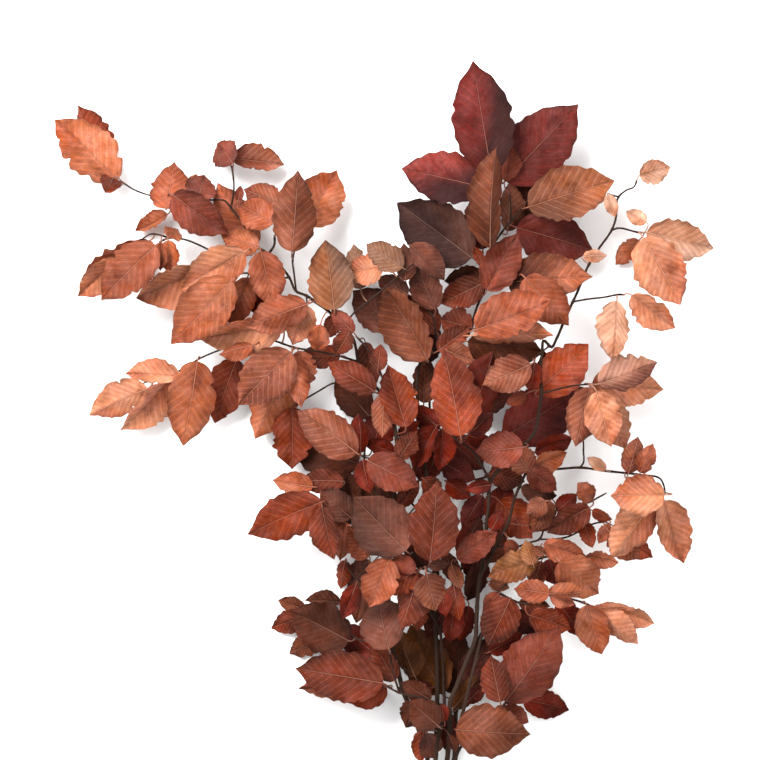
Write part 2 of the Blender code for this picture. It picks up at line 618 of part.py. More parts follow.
class Branch:
    """One leafy branch: twigs, leaves and the stalks that join them."""

    def __init__(self, name, colour, twigs, leaves, seed):
        self.name = name
        self.colour = colour
        self.twigs = [Twig(entry) for entry in twigs]
        self.leaves = [Leaf(row, seed + i) for i, row in enumerate(leaves)]
        self.leaves.sort(key=lambda leaf: leaf.layer)

    def lay(self, pile):
        """Lay the leaves under the twigs, the twigs and the leaves on top in this order."""
        for leaf in self.leaves:
            if leaf.layer < 0:
                root = nearest(self.twigs, leaf.base[0], leaf.base[1])[1]
                leaf.lay(pile, max(root[2] - 9.0, FLOOR))
        done = []
        for twig in self.twigs:
            start = None
            if done:
                p = twig.points[0]
                start = nearest(done, p[0], p[1])[1]
                start = (start[0] + 0.07, start[1] - 0.05, start[2] - 0.06)
            twig.lay(pile, start)
            done.append(twig)
        self.lay_upper(pile, (1, 2))
        for leaf in self.leaves:
            x = leaf.base[0] - 2.0 * KNEE * leaf.ux
            y = leaf.base[1] - 2.0 * KNEE * leaf.uy
            leaf.root = nearest(self.twigs, x, y)[1]

    def lay_upper(self, pile, layers):
        """Lay the leaves of these layers over everything laid so far."""
        for leaf in self.leaves:
            if leaf.layer in layers:
                root = nearest(self.twigs, leaf.base[0], leaf.base[1])[1]
                leaf.lay(pile, root[2] + 1.0)


def new_object(name, bm, collection):
    """Object of a finished bmesh, in metres."""
    bmesh.ops.scale(bm, vec=(MM, MM, MM), verts=bm.verts)
    mesh = bpy.data.meshes.new(name)
    bm.to_mesh(mesh)
    bm.free()
    obj = bpy.data.objects.new(name, mesh)
    collection.objects.link(obj)
    return obj


def tube(name, twig, sides, collection):
    """Closed tube along a twig with a flat side turned down."""
    bm = bmesh.new()
    rings = []
    count = len(twig.points)
    for i, point in enumerate(twig.points):
        here = Vector(point)
        before = Vector(twig.points[max(i - 1, 0)])
        after = Vector(twig.points[min(i + 1, count - 1)])
        way = (after - before).normalized()
        side = way.cross(Vector((0.0, 0.0, 1.0))).normalized()
        up = side.cross(way)
        ring = []
        for k in range(sides):
            angle = -0.5 * math.pi + math.pi / sides + 2.0 * math.pi * k / sides
            radius = twig.radii[i]
            offset = math.cos(angle) * radius * side + math.sin(angle) * radius * up
            ring.append(bm.verts.new(here + offset))
        rings.append(ring)
    for a, b in zip(rings, rings[1:]):
        for k in range(sides):
            j = (k + 1) % sides
            bm.faces.new((a[k], a[j], b[j], b[k]))
    bm.faces.new(tuple(reversed(rings[0])))
    bm.faces.new(tuple(rings[-1]))
    bmesh.ops.recalc_face_normals(bm, faces=bm.faces)
    return new_object(name, bm, collection)


def blade_rows(leaf):
    """Places of the cross rows between base and tip."""
    if leaf.length > 62.0:
        return (0.13, 0.36, 0.6, 0.83)
    if leaf.length > 30.0:
        return (0.18, 0.5, 0.8)
    return (0.3, 0.7)


def thick(leaf, t, s, amount):
    """Upper and lower point of the blade at t, s."""
    e = 0.004
    t0 = np.array([t, t + e, t, t])
    s0 = np.array([s, s, s + e, s - e])
    p = leaf.surface(t0, s0)
    normal = np.cross(p[1] - p[0], p[2] - p[3])
    normal = normal / max(np.linalg.norm(normal), 1e-12)
    return Vector(p[0] + 0.5 * amount * normal), Vector(p[0] - 0.5 * amount * normal)


def stalk_rings(leaf):
    """Upper and lower pairs of the stalk from its twig over a knee to the blade."""
    base = Vector(leaf.surface(np.array([0.0]), np.array([0.0]))[0])
    neck = Vector(leaf.surface(np.array([0.05]), np.array([0.0]))[0])
    forward = (neck - base).normalized()
    draw = random.Random(leaf.seed + 77)
    root = Vector(leaf.root) + Vector([draw.uniform(-0.08, 0.08) for _ in range(3)])
    knee = base - KNEE * forward
    way = (knee - root).normalized()
    side = Vector((-leaf.uy, leaf.ux, 0.0))
    lift = forward.cross(side).normalized()
    rings = [(base, side, lift, 1.0)]
    middle = way + forward
    middle = forward if middle.length < 0.35 else middle.normalized()
    stops = [(knee, middle, 1.0), (root - 0.1 * way, way, 0.62)]
    if way.dot(forward) > 0.6:
        stops = [(root - 0.1 * way, (base - root).normalized(), 0.62)]
    for point, along, size in stops:
        side = (side - side.dot(along) * along).normalized()
        lift = along.cross(side)
        rings.insert(0, (point, side, lift, size))
    top, low = [], []
    for point, side, lift, size in rings:
        half = 0.5 * size * STALK * side
        top.append([point - half + 0.55 * size * lift, point + half + 0.55 * size * lift])
        low.append([point - half - 0.55 * size * lift, point + half - 0.55 * size * lift])
    return top, low


def blade(name, leaf, collection):
    """Closed blade with its stalk, split alike on both faces."""
    bm = bmesh.new()
    top, low = stalk_rings(leaf)
    for t in blade_rows(leaf):
        pairs = [thick(leaf, t, s, RIB if s == 0.0 else BLADE) for s in (-1.0, 0.0, 1.0)]
        top.append([p[0] for p in pairs])
        low.append([p[1] for p in pairs])
    tip = thick(leaf, 0.995, 0.0, BLADE)
    upper = [[bm.verts.new(p) for p in row] for row in top] + [[bm.verts.new(tip[0])]]
    lower = [[bm.verts.new(p) for p in row] for row in low] + [[bm.verts.new(tip[1])]]
    for sheet, turn in ((upper, False), (lower, True)):
        faces = []
        for a, b in zip(sheet, sheet[1:]):
            if len(a) == 2 and len(b) == 2:
                faces += [(a[0], a[1], b[1]), (a[0], b[1], b[0])]
            elif len(a) == 2:
                faces += [(a[0], b[1], b[0]), (a[0], a[1], b[1]), (a[1], b[2], b[1])]
            elif len(b) == 3:
                faces += [(a[0], a[1], b[1]), (a[0], b[1], b[0])]
                faces += [(a[1], a[2], b[2]), (a[1], b[2], b[1])]
            else:
                faces += [(a[0], a[1], b[0]), (a[1], a[2], b[0])]
        for face in faces:
            bm.faces.new(tuple(reversed(face)) if turn else face)
    for end in (0, -1):
        for a, b, c, d in zip(upper, upper[1:], lower, lower[1:]):
            quad = (a[end], b[end], d[end], c[end])
            bm.faces.new(quad[:3])
            bm.faces.new((quad[0], quad[2], quad[3]))
    bm.faces.new((upper[0][0], upper[0][1], lower[0][1]))
    bm.faces.new((upper[0][0], lower[0][1], lower[0][0]))
    bmesh.ops.recalc_face_normals(bm, faces=bm.faces)
    return new_object(name, bm, collection)


def material(name, colour):
    """Plain dry leaf colour."""
    mat = bpy.data.materials.new(name)
    mat.use_nodes = True
    shader = mat.node_tree.nodes["Principled BSDF"]
    shader.inputs["Base Color"].default_value = (*colour, 1.0)
    shader.inputs["Roughness"].default_value = 0.75
    mat.diffuse_color = (*colour, 1.0)
    return mat


def build_branch(branch, collection):
    """Join the stem, twigs and blades of a branch into one solid."""
    spare = bpy.data.collections.new(branch.name + "_pieces")
    bpy.context.scene.collection.children.link(spare)
    sides = 6 if branch.name == "right_branch" else 5
    stem = tube(branch.name, branch.twigs[0], sides, collection)
    for i, twig in enumerate(branch.twigs[1:]):
        tube(f"{branch.name}_twig_{i}", twig, 5, spare)
    for i, leaf in enumerate(branch.leaves):
        blade(f"{branch.name}_blade_{i}", leaf, spare)
    stem.data.materials.append(material(branch.name + "_dry", branch.colour))
    union = stem.modifiers.new("join", "BOOLEAN")
    union.operation = "UNION"
    union.operand_type = "COLLECTION"
    union.collection = spare
    union.solver = "MANIFOLD"
    bpy.context.view_layer.objects.active = stem
    stem.select_set(True)
    bpy.ops.object.modifier_apply(modifier=union.name)
    stem.select_set(False)
    for piece in list(spare.objects):
        bpy.data.objects.remove(piece, do_unlink=True)
    bpy.data.collections.remove(spare)
    return stem


def bodies(bm):
    """Groups of joined vertices, the smallest first."""
    left = set(bm.verts)
    groups = []
    while left:
        stack = [left.pop()]
        group = set(stack)
        while stack:
            for edge in stack.pop().link_edges:
                for vert in edge.verts:
                    if vert in left:
                        left.discard(vert)
                        group.add(vert)
                        stack.append(vert)
        groups.append(group)
    return sorted(groups, key=len)


def clean(obj):
    """Collapse slivers, drop loose scraps and leave one closed triangulated body."""
    raw = bmesh.new()
    raw.from_mesh(obj.data)
    bmesh.ops.triangulate(raw, faces=raw.faces)
    for size in (2.0e-4, 1.5e-4, 1.0e-4, 7.0e-5, 5.0e-5, 3.0e-5, 1.0e-5, 2.0e-6, 0.0):
        bm = raw.copy()
        if size > 0.0:
            bmesh.ops.dissolve_degenerate(bm, dist=size, edges=bm.edges)
        scraps = [vert for group in bodies(bm)[:-1] for vert in group]
        bmesh.ops.delete(bm, geom=scraps, context="VERTS")
        bmesh.ops.triangulate(bm, faces=bm.faces)
        if all(edge.is_manifold for edge in bm.edges):
            bm.to_mesh(obj.data)
            bm.free()
            break
        bm.free()
    raw.free()


def main():
    """Lay and build the six branches from the back of the bunch to the front."""
    for obj in list(bpy.data.objects):
        bpy.data.objects.remove(obj, do_unlink=True)
    collection = bpy.data.collections.new(COLLECTION)
    bpy.context.scene.collection.children.link(collection)
    branches = [
        Branch("back_branch", (0.10, 0.045, 0.03), BACK_TWIGS, BACK_LEAVES, 1000),
        Branch("centre_branch", (0.20, 0.05, 0.035), CENTRE_TWIGS, CENTRE_LEAVES, 2000),
        Branch("left_branch", (0.60, 0.21, 0.09), LEFT_TWIGS, LEFT_LEAVES, 3000),
        Branch("right_branch", (0.52, 0.17, 0.08), RIGHT_TWIGS, RIGHT_LEAVES, 4000),
        Branch("low_right_branch", (0.48, 0.14, 0.06), LOW_RIGHT_TWIGS, LOW_RIGHT_LEAVES, 5000),
        Branch("low_left_branch", (0.36, 0.12, 0.08), LOW_LEFT_TWIGS, LOW_LEFT_LEAVES, 6000),
    ]
    pile = Pile()
    for branch in branches:
        branch.lay(pile)
        if branch.name == "right_branch":
            branches[1].lay_upper(pile, (3,))
    for branch in branches:
        clean(build_branch(branch, collection))


main()
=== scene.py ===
"""Looks of a bunch of preserved copper beech branches that lies flat on a pale floor.

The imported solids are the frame. Each of the six branches is laid again leaf by leaf, by the same
rules and random draws as its solid, and gets thin pleated blades with uneven margins, stalks that
run on as midribs, and round tapering twigs that swell at their nodes.
"""

import logging
import math
import random
from dataclasses import dataclass, field
from enum import Enum
from typing import Optional, Sequence, Union

import bpy
import numpy as np
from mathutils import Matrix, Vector


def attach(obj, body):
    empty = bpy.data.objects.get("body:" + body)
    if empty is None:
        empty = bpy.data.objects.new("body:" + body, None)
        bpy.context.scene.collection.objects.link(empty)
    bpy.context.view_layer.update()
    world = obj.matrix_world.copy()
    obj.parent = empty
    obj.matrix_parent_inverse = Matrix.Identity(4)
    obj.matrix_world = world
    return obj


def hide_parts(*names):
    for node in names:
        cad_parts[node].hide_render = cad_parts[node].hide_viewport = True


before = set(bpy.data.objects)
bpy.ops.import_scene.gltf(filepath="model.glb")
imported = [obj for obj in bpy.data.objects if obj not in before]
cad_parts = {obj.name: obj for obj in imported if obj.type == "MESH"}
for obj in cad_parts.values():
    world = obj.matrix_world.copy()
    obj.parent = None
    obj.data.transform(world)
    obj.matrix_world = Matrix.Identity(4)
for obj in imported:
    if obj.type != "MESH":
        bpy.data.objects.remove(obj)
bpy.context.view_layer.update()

LOG = logging.getLogger("beech_bunch")
MM = 0.001

# Height map, in mm: side of a cell, reach, room left over what lies below, and the bare surface.
CELL = 1.6
X_LOW, X_HIGH = -360.0, 260.0
Y_LOW, Y_HIGH = -20.0, 730.0
GAP = 2.2
FLOOR = 0.5

# Leaves: length over width of a flat leaf, the ratio below which a leaf points up or down, the one
# above which it lies on its side, the place along a blade where it is widest, and the lengths in mm
# above which it takes the large and the middle grid. The bend at a stalk's root is 2 * KNEE long.
NATURAL = 1.5
STEEP, TURNED = 1.3, 1.9
WIDEST = 0.44
LARGE, MIDDLE = 52.0, 27.0
KNEE = 2.5

# Twigs, in mm: longest straight piece, distance from a straight line that is smoothed away, y up to
# which a stem keeps its radius, nothing grows from it, and it keeps its height. SLOPE is the
# steepest run of a twig.
STEP = 24.0
STRAIGHT = 0.8
ROUND, BARE, GATHER = 40.0, 60.0, 70.0
SLOPE = 0.45

# Laying, in mm: how far below or above its twig a blade's base may lie at the lowest, and the step
# by which a twig's first point is set off from the one that carries it.
UNDER, OVER = 9.0, 1.0
ASIDE = (0.07, -0.05, -0.06)

# Greatest distance in metres between points that are one at the seam of a rod.
SEAM = 2.0e-6

# View: width of the picture in pixels, scale of the picture, and share of a screen colour that a
# surface has to give back under the studio's light to look like it.
IMAGE_WIDTH = 765
MM_PER_PIXEL = 0.88
DIM = 0.53

Points = np.ndarray
Place = tuple[float, float, float]
Socket = bpy.types.NodeSocket
Value = Union[Socket, float, Place]


class Family(Enum):
    """Finish that a group of leaf tones shares."""

    PALE = "pale"
    RUST = "rust"
    WINE = "wine"
    DARK = "dark"


@dataclass(frozen=True)
class Shade:
    """Colours of one leaf tone: the main one, a second one, and how they part.

    along is the share by which the second colour grows towards the tip, across the share by which
    it lies on the left half; None leaves the share to the leaf's own draw.
    """

    main: str
    second: str
    family: Family
    along: Optional[float] = None
    across: Optional[float] = None


class Tone(Enum):
    """Leaf tones, named as a florist would."""

    SALMON = Shade("F09E78", "D97A58", Family.PALE)
    PALE = Shade("FCBFA0", "E99D76", Family.PALE)
    TAN = Shade("B07D63", "885C47", Family.PALE)
    ROSE = Shade("B86A50", "8F4834", Family.PALE)
    ROSEBROWN = Shade("E29E83", "844E3F", Family.PALE, 0.1, -1.0)
    OCHRE = Shade("C07A4C", "9C5836", Family.PALE)
    HALVED = Shade("AC6844", "825C49", Family.PALE, None, -0.9)
    HAZEL = Shade("BE6D48", "87513D", Family.PALE, -0.7, None)
    TIPPED = Shade("C26E4E", "623224", Family.RUST, -0.95, None)
    ORANGE = Shade("D27A57", "B45A39", Family.RUST)
    COPPER = Shade("C66C4E", "A4543A", Family.RUST)
    RUST = Shade("A64629", "7E3523", Family.RUST)
    FLAME = Shade("E26A46", "BC5036", Family.RUST)
    REDBROWN = Shade("8C3E2A", "5E2A1C", Family.RUST)
    BROWN = Shade("9C573F", "6B3521", Family.RUST)
    REDROSE = Shade("9E4E3C", "7A382A", Family.WINE)
    WINE = Shade("84342D", "582323", Family.WINE)
    WINE2 = Shade("842E29", "3C1A19", Family.WINE, -0.6, -0.8)
    EMBER = Shade("98403A", "3C1D20", Family.WINE, -1.1, 0.9)
    MAROON = Shade("80342C", "56201C", Family.WINE)
    DEEP = Shade("8A2814", "5B1B10", Family.WINE)
    PLUM = Shade("622C22", "441E18", Family.DARK)
    SMOKE = Shade("5C3930", "302022", Family.DARK)
    MAUVE = Shade("864C3C", "5B372D", Family.DARK)
    UMBER = Shade("6A3422", "462216", Family.DARK)
    OLIVE = Shade("743F1A", "5A3013", Family.DARK)
    DARK = Shade("661F12", "45170E", Family.DARK)


# One row is one leaf: blade base x, y and tip x, y seen from above, visible width (mm), layer, tone.
# Layer -1 lies under the twigs of its branch, 1 and 2 on top of them in rising order, and 3 also
# on top of the branch that crosses it.
T = Tone
BACK_LEAVES = (
    (-72, 350, -135, 372, 46, 1, T.UMBER),
    (-62, 392, -93, 427, 30, 1, T.UMBER),
    (28, 392, 68, 420, 20, 1, T.PLUM),
    (8, 372, 40, 345, 28, 1, T.DARK),
    (2, 352, 32, 336, 24, 1, T.MAROON),
    (-4, 338, -26, 360, 26, 1, T.DARK),
    (-2, 362, -12, 335, 20, 1, T.DARK),
    (-78, 298, -102, 306, 26, 1, T.UMBER),
    (-60, 262, -82, 240, 24, 1, T.MAUVE),
    (38, 322, 20, 292, 20, 1, T.MAROON),
    (20, 266, 46, 250, 22, 1, T.DARK),
    (14, 145, 18, 206, 20, 1, T.UMBER),
    (24, 152, 42, 197, 26, 1, T.PLUM),
    (12, 134, 34, 164, 20, 1, T.OLIVE),
    (2, 146, -26, 207, 42, 1, T.OLIVE),
    (26, 224, 18, 192, 16, 1, T.DEEP),
    (62, 208, 104, 212, 24, 1, T.DARK),
    (-12, 440, -4, 476, 22, 1, T.PLUM),
    (-58, 182, -88, 206, 30, 1, T.DEEP),
    (34, 262, 25, 228, 16, 1, T.PLUM),
    (-40, 300, -70, 334, 32, 1, T.UMBER),
    (8, 226, -12, 196, 24, 1, T.DARK),
    (62, 398, 98, 378, 32, 1, T.MAROON),
    (44, 300, 64, 332, 26, 1, T.DEEP),
    (16, 402, 38, 440, 28, 1, T.DEEP),
    (-60, 362, -50, 396, 30, 1, T.DEEP),
    (-36, 312, -18, 336, 14, 1, T.REDBROWN),
    (6, 334, 28, 320, 18, 1, T.DEEP),
    (44, 342, 76, 334, 24, 1, T.REDBROWN),
    (18, 268, 36, 304, 22, 1, T.DARK),
    (14, 246, 4, 274, 16, 1, T.UMBER),
    (44, 262, 54, 298, 16, 1, T.UMBER),
    (44, 184, 74, 200, 18, 1, T.DEEP),
    (-6, 152, -38, 150, 16, 1, T.DARK),
    (24, 140, 40, 156, 14, 1, T.DARK),
    (-12, 256, -34, 282, 14, 1, T.DARK),
    (-22, 162, -38, 204, 18, 1, T.OLIVE),
    (10, 128, 6, 94, 12, 1, T.DARK),
)
CENTRE_LEAVES = (
    (-40, 470, -77, 504, 38, -1, T.MAUVE),
    (68, 572, 100, 610, 36, -1, T.PLUM),
    (38, 540, 30, 588, 26, -1, T.MAROON),
    (28, 532, -38, 581, 54, 1, T.SMOKE),
    (38, 594, -34, 611, 46, 1, T.EMBER),
    (58, 600, 123, 669, 54, 1, T.WINE),
    (57, 600, 62, 634, 12, 1, T.REDROSE),
    (68, 559, 136, 539, 46, 1, T.MAROON),
    (38, 525, 30, 542, 10, 1, T.RUST),
    (38, 510, 0, 492, 28, 1, T.REDBROWN),
    (28, 470, 0, 478, 30, 1, T.REDBROWN),
    (-4, 487, -22, 529, 28, 1, T.MAUVE),
    (-28, 500, -56, 515, 20, 1, T.MAUVE),
    (-2, 450, 26, 472, 18, 1, T.REDBROWN),
    (0, 382, -24, 402, 18, 1, T.DEEP),
    (-3, 384, -22, 345, 16, 1, T.DEEP),
    (2, 382, -2, 345, 14, 1, T.DEEP),
    (45, 608, 29, 706, 53, 2, T.WINE2),
    (44, 540, 49, 628, 19, 2, T.BROWN),
    (78, 577, 155, 601, 47, 2, T.HAZEL),
    (-11, 442, -50, 508, 30, 2, T.BROWN),
    (60, 510, 134, 515, 38, 3, T.TIPPED),
    (74, 514, 112, 472, 36, 3, T.COPPER),
    (41, 503, 68, 553, 34, 3, T.REDROSE),
    (28, 463, 98, 463, 16, 3, T.SALMON),
    (30, 468, 97, 494, 34, 3, T.COPPER),
    (24, 458, 92, 449, 24, 1, T.BROWN),
    (-2, 466, -34, 500, 22, -1, T.REDBROWN),
    (40, 516, 4, 512, 22, -1, T.UMBER),
    (60, 556, 62, 600, 16, -1, T.BROWN),
    (-14, 404, -12, 446, 20, -1, T.BROWN),
    (6, 450, 30, 440, 22, 1, T.BROWN),
)
LEFT_LEAVES = (
    (-303, 614, -322, 669, 18, -1, T.RUST),
    (-242, 572, -271, 557, 9, -1, T.ORANGE),
    (-222, 590, -216, 608, 14, -1, T.ROSE),
    (-163, 545, -197, 600, 24, -1, T.COPPER),
    (-140, 580, -174, 594, 26, -1, T.ROSE),
    (-184, 621, -138, 616, 17, -1, T.ROSE),
    (-118, 562, -91, 611, 43, -1, T.ORANGE),
    (-258, 548, -320, 514, 22, -1, T.SALMON),
    (-284, 532, -322, 499, 17, -1, T.SALMON),
    (-165, 517, -160, 480, 24, -1, T.DEEP),
    (-180, 443, -200, 386, 36, -1, T.RUST),
    (-238, 427, -284, 380, 18, -1, T.SALMON),
    (-134, 440, -164, 372, 38, -1, T.ORANGE),
    (-131, 400, -131, 345, 38, -1, T.RUST),
    (-120, 220, -144, 228, 12, -1, T.BROWN),
    (-118, 214, -150, 203, 22, -1, T.REDBROWN),
    (-88, 226, -120, 228, 8, -1, T.MAUVE),
    (-84, 264, -88, 238, 11, -1, T.RUST),
    (-286, 601, -342, 656, 39, 1, T.ORANGE),
    (-288, 602, -296, 590, 20, 1, T.RUST),
    (-242, 576, -236, 619, 35, 1, T.COPPER),
    (-213, 584, -209, 607, 28, 1, T.REDROSE),
    (-160, 541, -193, 552, 26, 1, T.ORANGE),
    (-147, 562, -178, 580, 30, 1, T.COPPER),
    (-178, 583, -176, 596, 8, 1, T.REDROSE),
    (-183, 616, -198, 636, 27, 1, T.REDROSE),
    (-240, 551, -232, 558, 18, 1, T.ORANGE),
    (-240, 548, -237, 517, 16, 1, T.ORANGE),
    (-246, 546, -247, 521, 12, 1, T.COPPER),
    (-266, 541, -253, 546, 9, 1, T.COPPER),
    (-205, 522, -269, 497, 23, 1, T.SALMON),
    (-170, 515, -185, 470, 26, 1, T.ORANGE),
    (-185, 500, -200, 470, 14, 1, T.RUST),
    (-140, 470, -213, 461, 18, 1, T.SALMON),
    (-117, 490, -130, 455, 26, 1, T.SALMON),
    (-105, 473, -108, 450, 20, 1, T.COPPER),
    (-76, 466, -96, 487, 16, 1, T.REDROSE),
    (-230, 427, -279, 430, 13, 1, T.SALMON),
    (-258, 417, -310, 393, 24, 1, T.SALMON),
    (-165, 455, -195, 447, 10, 1, T.COPPER),
    (-57, 414, -99, 440, 26, 1, T.REDBROWN),
    (-125, 450, -118, 418, 26, 1, T.COPPER),
    (-130, 446, -122, 400, 26, 1, T.COPPER),
    (-50, 413, -51, 374, 20, 1, T.ROSE),
    (-55, 432, -52, 456, 16, 1, T.REDBROWN),
    (-80, 466, -92, 446, 18, 1, T.REDBROWN),
    (-70, 360, -72, 395, 12, 1, T.DEEP),
    (-36, 356, -20, 380, 20, 1, T.REDBROWN),
    (-85, 335, -125, 335, 20, 1, T.REDBROWN),
    (-112, 330, -148, 336, 18, 1, T.ORANGE),
    (-78, 302, -106, 328, 26, 1, T.MAUVE),
    (-62, 268, -82, 296, 27, 1, T.COPPER),
    (-80, 193, -133, 220, 44, 1, T.UMBER),
    (-74, 243, -86, 213, 18, 1, T.DEEP),
    (-50, 524, -84, 520, 28, 1, T.SALMON),
    (-33, 523, -65, 544, 26, 1, T.TAN),
    (-26, 543, 4, 512, 20, 1, T.MAUVE),
    (-104, 317, -170, 288, 40, 1, T.RUST),
    (-104, 313, -93, 266, 20, 1, T.REDBROWN),
    (-236, 588, -186, 554, 30, 2, T.REDROSE),
    (-172, 537, -229, 504, 34, 2, T.SALMON),
    (-183, 512, -237, 456, 45, 2, T.ORANGE),
    (-158, 538, -147, 489, 32, 2, T.COPPER),
    (-250, 543, -299, 495, 41, 2, T.COPPER),
    (-130, 537, -125, 609, 38, 2, T.BROWN),
    (-117, 491, -170, 470, 30, 2, T.COPPER),
    (-93, 486, -101, 548, 40, 2, T.HALVED),
    (-214, 441, -227, 366, 42, 2, T.ORANGE),
    (-131, 449, -178, 402, 44, 2, T.ROSE),
    (-73, 360, -126, 398, 34, 2, T.ROSE),
    (-30, 383, -46, 438, 27, 2, T.RUST),
    (-30, 512, -32, 545, 16, -1, T.MAUVE),
    (-70, 505, -76, 545, 24, -1, T.TAN),
    (-88, 446, -126, 446, 22, -1, T.REDBROWN),
    (-66, 458, -55, 422, 14, -1, T.REDBROWN),
    (-74, 314, -84, 345, 18, -1, T.UMBER),
    (-104, 196, -134, 180, 22, -1, T.BROWN),
    (-64, 240, -74, 208, 16, -1, T.BROWN),
    (-84, 300, -88, 264, 14, -1, T.COPPER),
    (-90, 482, -101, 461, 16, -1, T.REDBROWN),
    (-40, 360, -66, 370, 14, -1, T.DEEP),
    (-36, 374, -18, 388, 14, -1, T.DEEP),
)
RIGHT_LEAVES = (
    (135, 421, 199, 416, 37, -1, T.SALMON),
    (178, 549, 157, 527, 18, -1, T.ORANGE),
    (57, 374, 128, 418, 50, -1, T.WINE),
    (90, 418, 91, 450, 12, -1, T.DEEP),
    (52, 318, 82, 284, 34, -1, T.RUST),
    (20, 378, 46, 450, 30, -1, T.DEEP),
    (84, 414, 130, 456, 40, -1, T.FLAME),
    (183, 564, 165, 574, 14, 1, T.PALE),
    (178, 606, 206, 614, 22, 1, T.PALE),
    (148, 588, 155, 568, 12, 1, T.PALE),
    (126, 533, 147, 534, 11, 1, T.PALE),
    (183, 555, 243, 541, 36, 1, T.PALE),
    (168, 499, 207, 470, 21, 1, T.SALMON),
    (155, 494, 152, 441, 19, 1, T.PALE),
    (134, 414, 163, 363, 28, 1, T.SALMON),
    (130, 418, 118, 366, 30, 1, T.ROSE),
    (136, 414, 149, 366, 32, 1, T.SALMON),
    (165, 343, 173, 375, 20, 1, T.ROSE),
    (175, 343, 186, 369, 17, 1, T.COPPER),
    (147, 345, 130, 356, 11, 1, T.PALE),
    (78, 346, 112, 361, 14, 1, T.ORANGE),
    (78, 345, 103, 327, 22, 1, T.REDROSE),
    (103, 309, 121, 324, 16, 1, T.DEEP),
    (97, 318, 82, 290, 22, 1, T.BROWN),
    (92, 318, 76, 305, 18, 1, T.ROSE),
    (135, 318, 121, 334, 18, 1, T.COPPER),
    (135, 309, 153, 301, 7, 1, T.RUST),
    (127, 299, 135, 276, 15, 1, T.RUST),
    (150, 297, 140, 280, 12, 1, T.COPPER),
    (158, 292, 190, 267, 14, 1, T.FLAME),
    (150, 290, 177, 266, 26, 1, T.COPPER),
    (189, 320, 150, 268, 29, 1, T.SALMON),
    (82, 440, 78, 413, 16, 1, T.DEEP),
    (75, 413, 57, 403, 12, 1, T.REDBROWN),
    (25, 378, 46, 396, 18, 1, T.MAROON),
    (24, 382, 26, 418, 14, 1, T.DEEP),
    (45, 332, 22, 328, 13, 1, T.DEEP),
    (45, 292, 55, 310, 13, 1, T.DEEP),
    (60, 284, 66, 267, 14, 1, T.REDBROWN),
    (78, 345, 63, 367, 24, 1, T.ROSE),
    (72, 366, 30, 362, 32, 1, T.REDROSE),
    (132, 312, 94, 290, 20, 1, T.REDBROWN),
    (178, 549, 210, 490, 45, 2, T.SALMON),
    (138, 421, 190, 440, 25, 2, T.ROSEBROWN),
    (198, 318, 216, 262, 24, 2, T.SALMON),
    (196, 324, 149, 323, 36, 2, T.SALMON),
    (78, 438, 36, 420, 32, 2, T.ROSE),
    (17, 376, 2, 452, 36, 2, T.RUST),
    (84, 360, 118, 374, 16, -1, T.DEEP),
    (72, 330, 104, 322, 14, -1, T.MAUVE),
    (78, 296, 108, 300, 14, -1, T.REDBROWN),
    (24, 376, 48, 366, 12, -1, T.DEEP),
)
LOW_RIGHT_LEAVES = (
    (105, 228, 128, 197, 22, -1, T.DEEP),
    (97, 266, 106, 241, 22, -1, T.DEEP),
    (75, 140, 116, 130, 26, -1, T.DEEP),
    (128, 269, 157, 264, 13, 1, T.ORANGE),
    (91, 280, 130, 268, 20, 1, T.COPPER),
    (104, 266, 140, 236, 38, 1, T.ORANGE),
    (85, 268, 42, 251, 28, 1, T.OCHRE),
    (82, 262, 75, 284, 16, 1, T.OCHRE),
    (92, 271, 81, 278, 9, 1, T.BROWN),
    (52, 236, 38, 223, 13, 1, T.REDBROWN),
    (94, 238, 127, 239, 9, 1, T.ORANGE),
    (96, 236, 118, 229, 8, 1, T.COPPER),
    (135, 222, 168, 224, 8, 1, T.SALMON),
    (158, 220, 190, 209, 15, 1, T.SALMON),
    (142, 219, 175, 191, 15, 1, T.SALMON),
    (129, 226, 143, 182, 31, 1, T.ORANGE),
    (79, 217, 116, 204, 25, 1, T.RUST),
    (95, 238, 64, 242, 21, 2, T.COPPER),
    (62, 232, 42, 190, 35, 2, T.REDBROWN),
    (55, 133, 79, 121, 20, 1, T.REDROSE),
    (14, 117, 80, 112, 48, 1, T.BROWN),
    (58, 140, 106, 207, 51, 2, T.REDROSE),
    (53, 141, 45, 182, 27, 2, T.REDBROWN),
    (70, 228, 98, 224, 12, -1, T.REDBROWN),
    (44, 246, 62, 240, 12, -1, T.BROWN),
    (90, 264, 82, 240, 18, -1, T.REDBROWN),
)
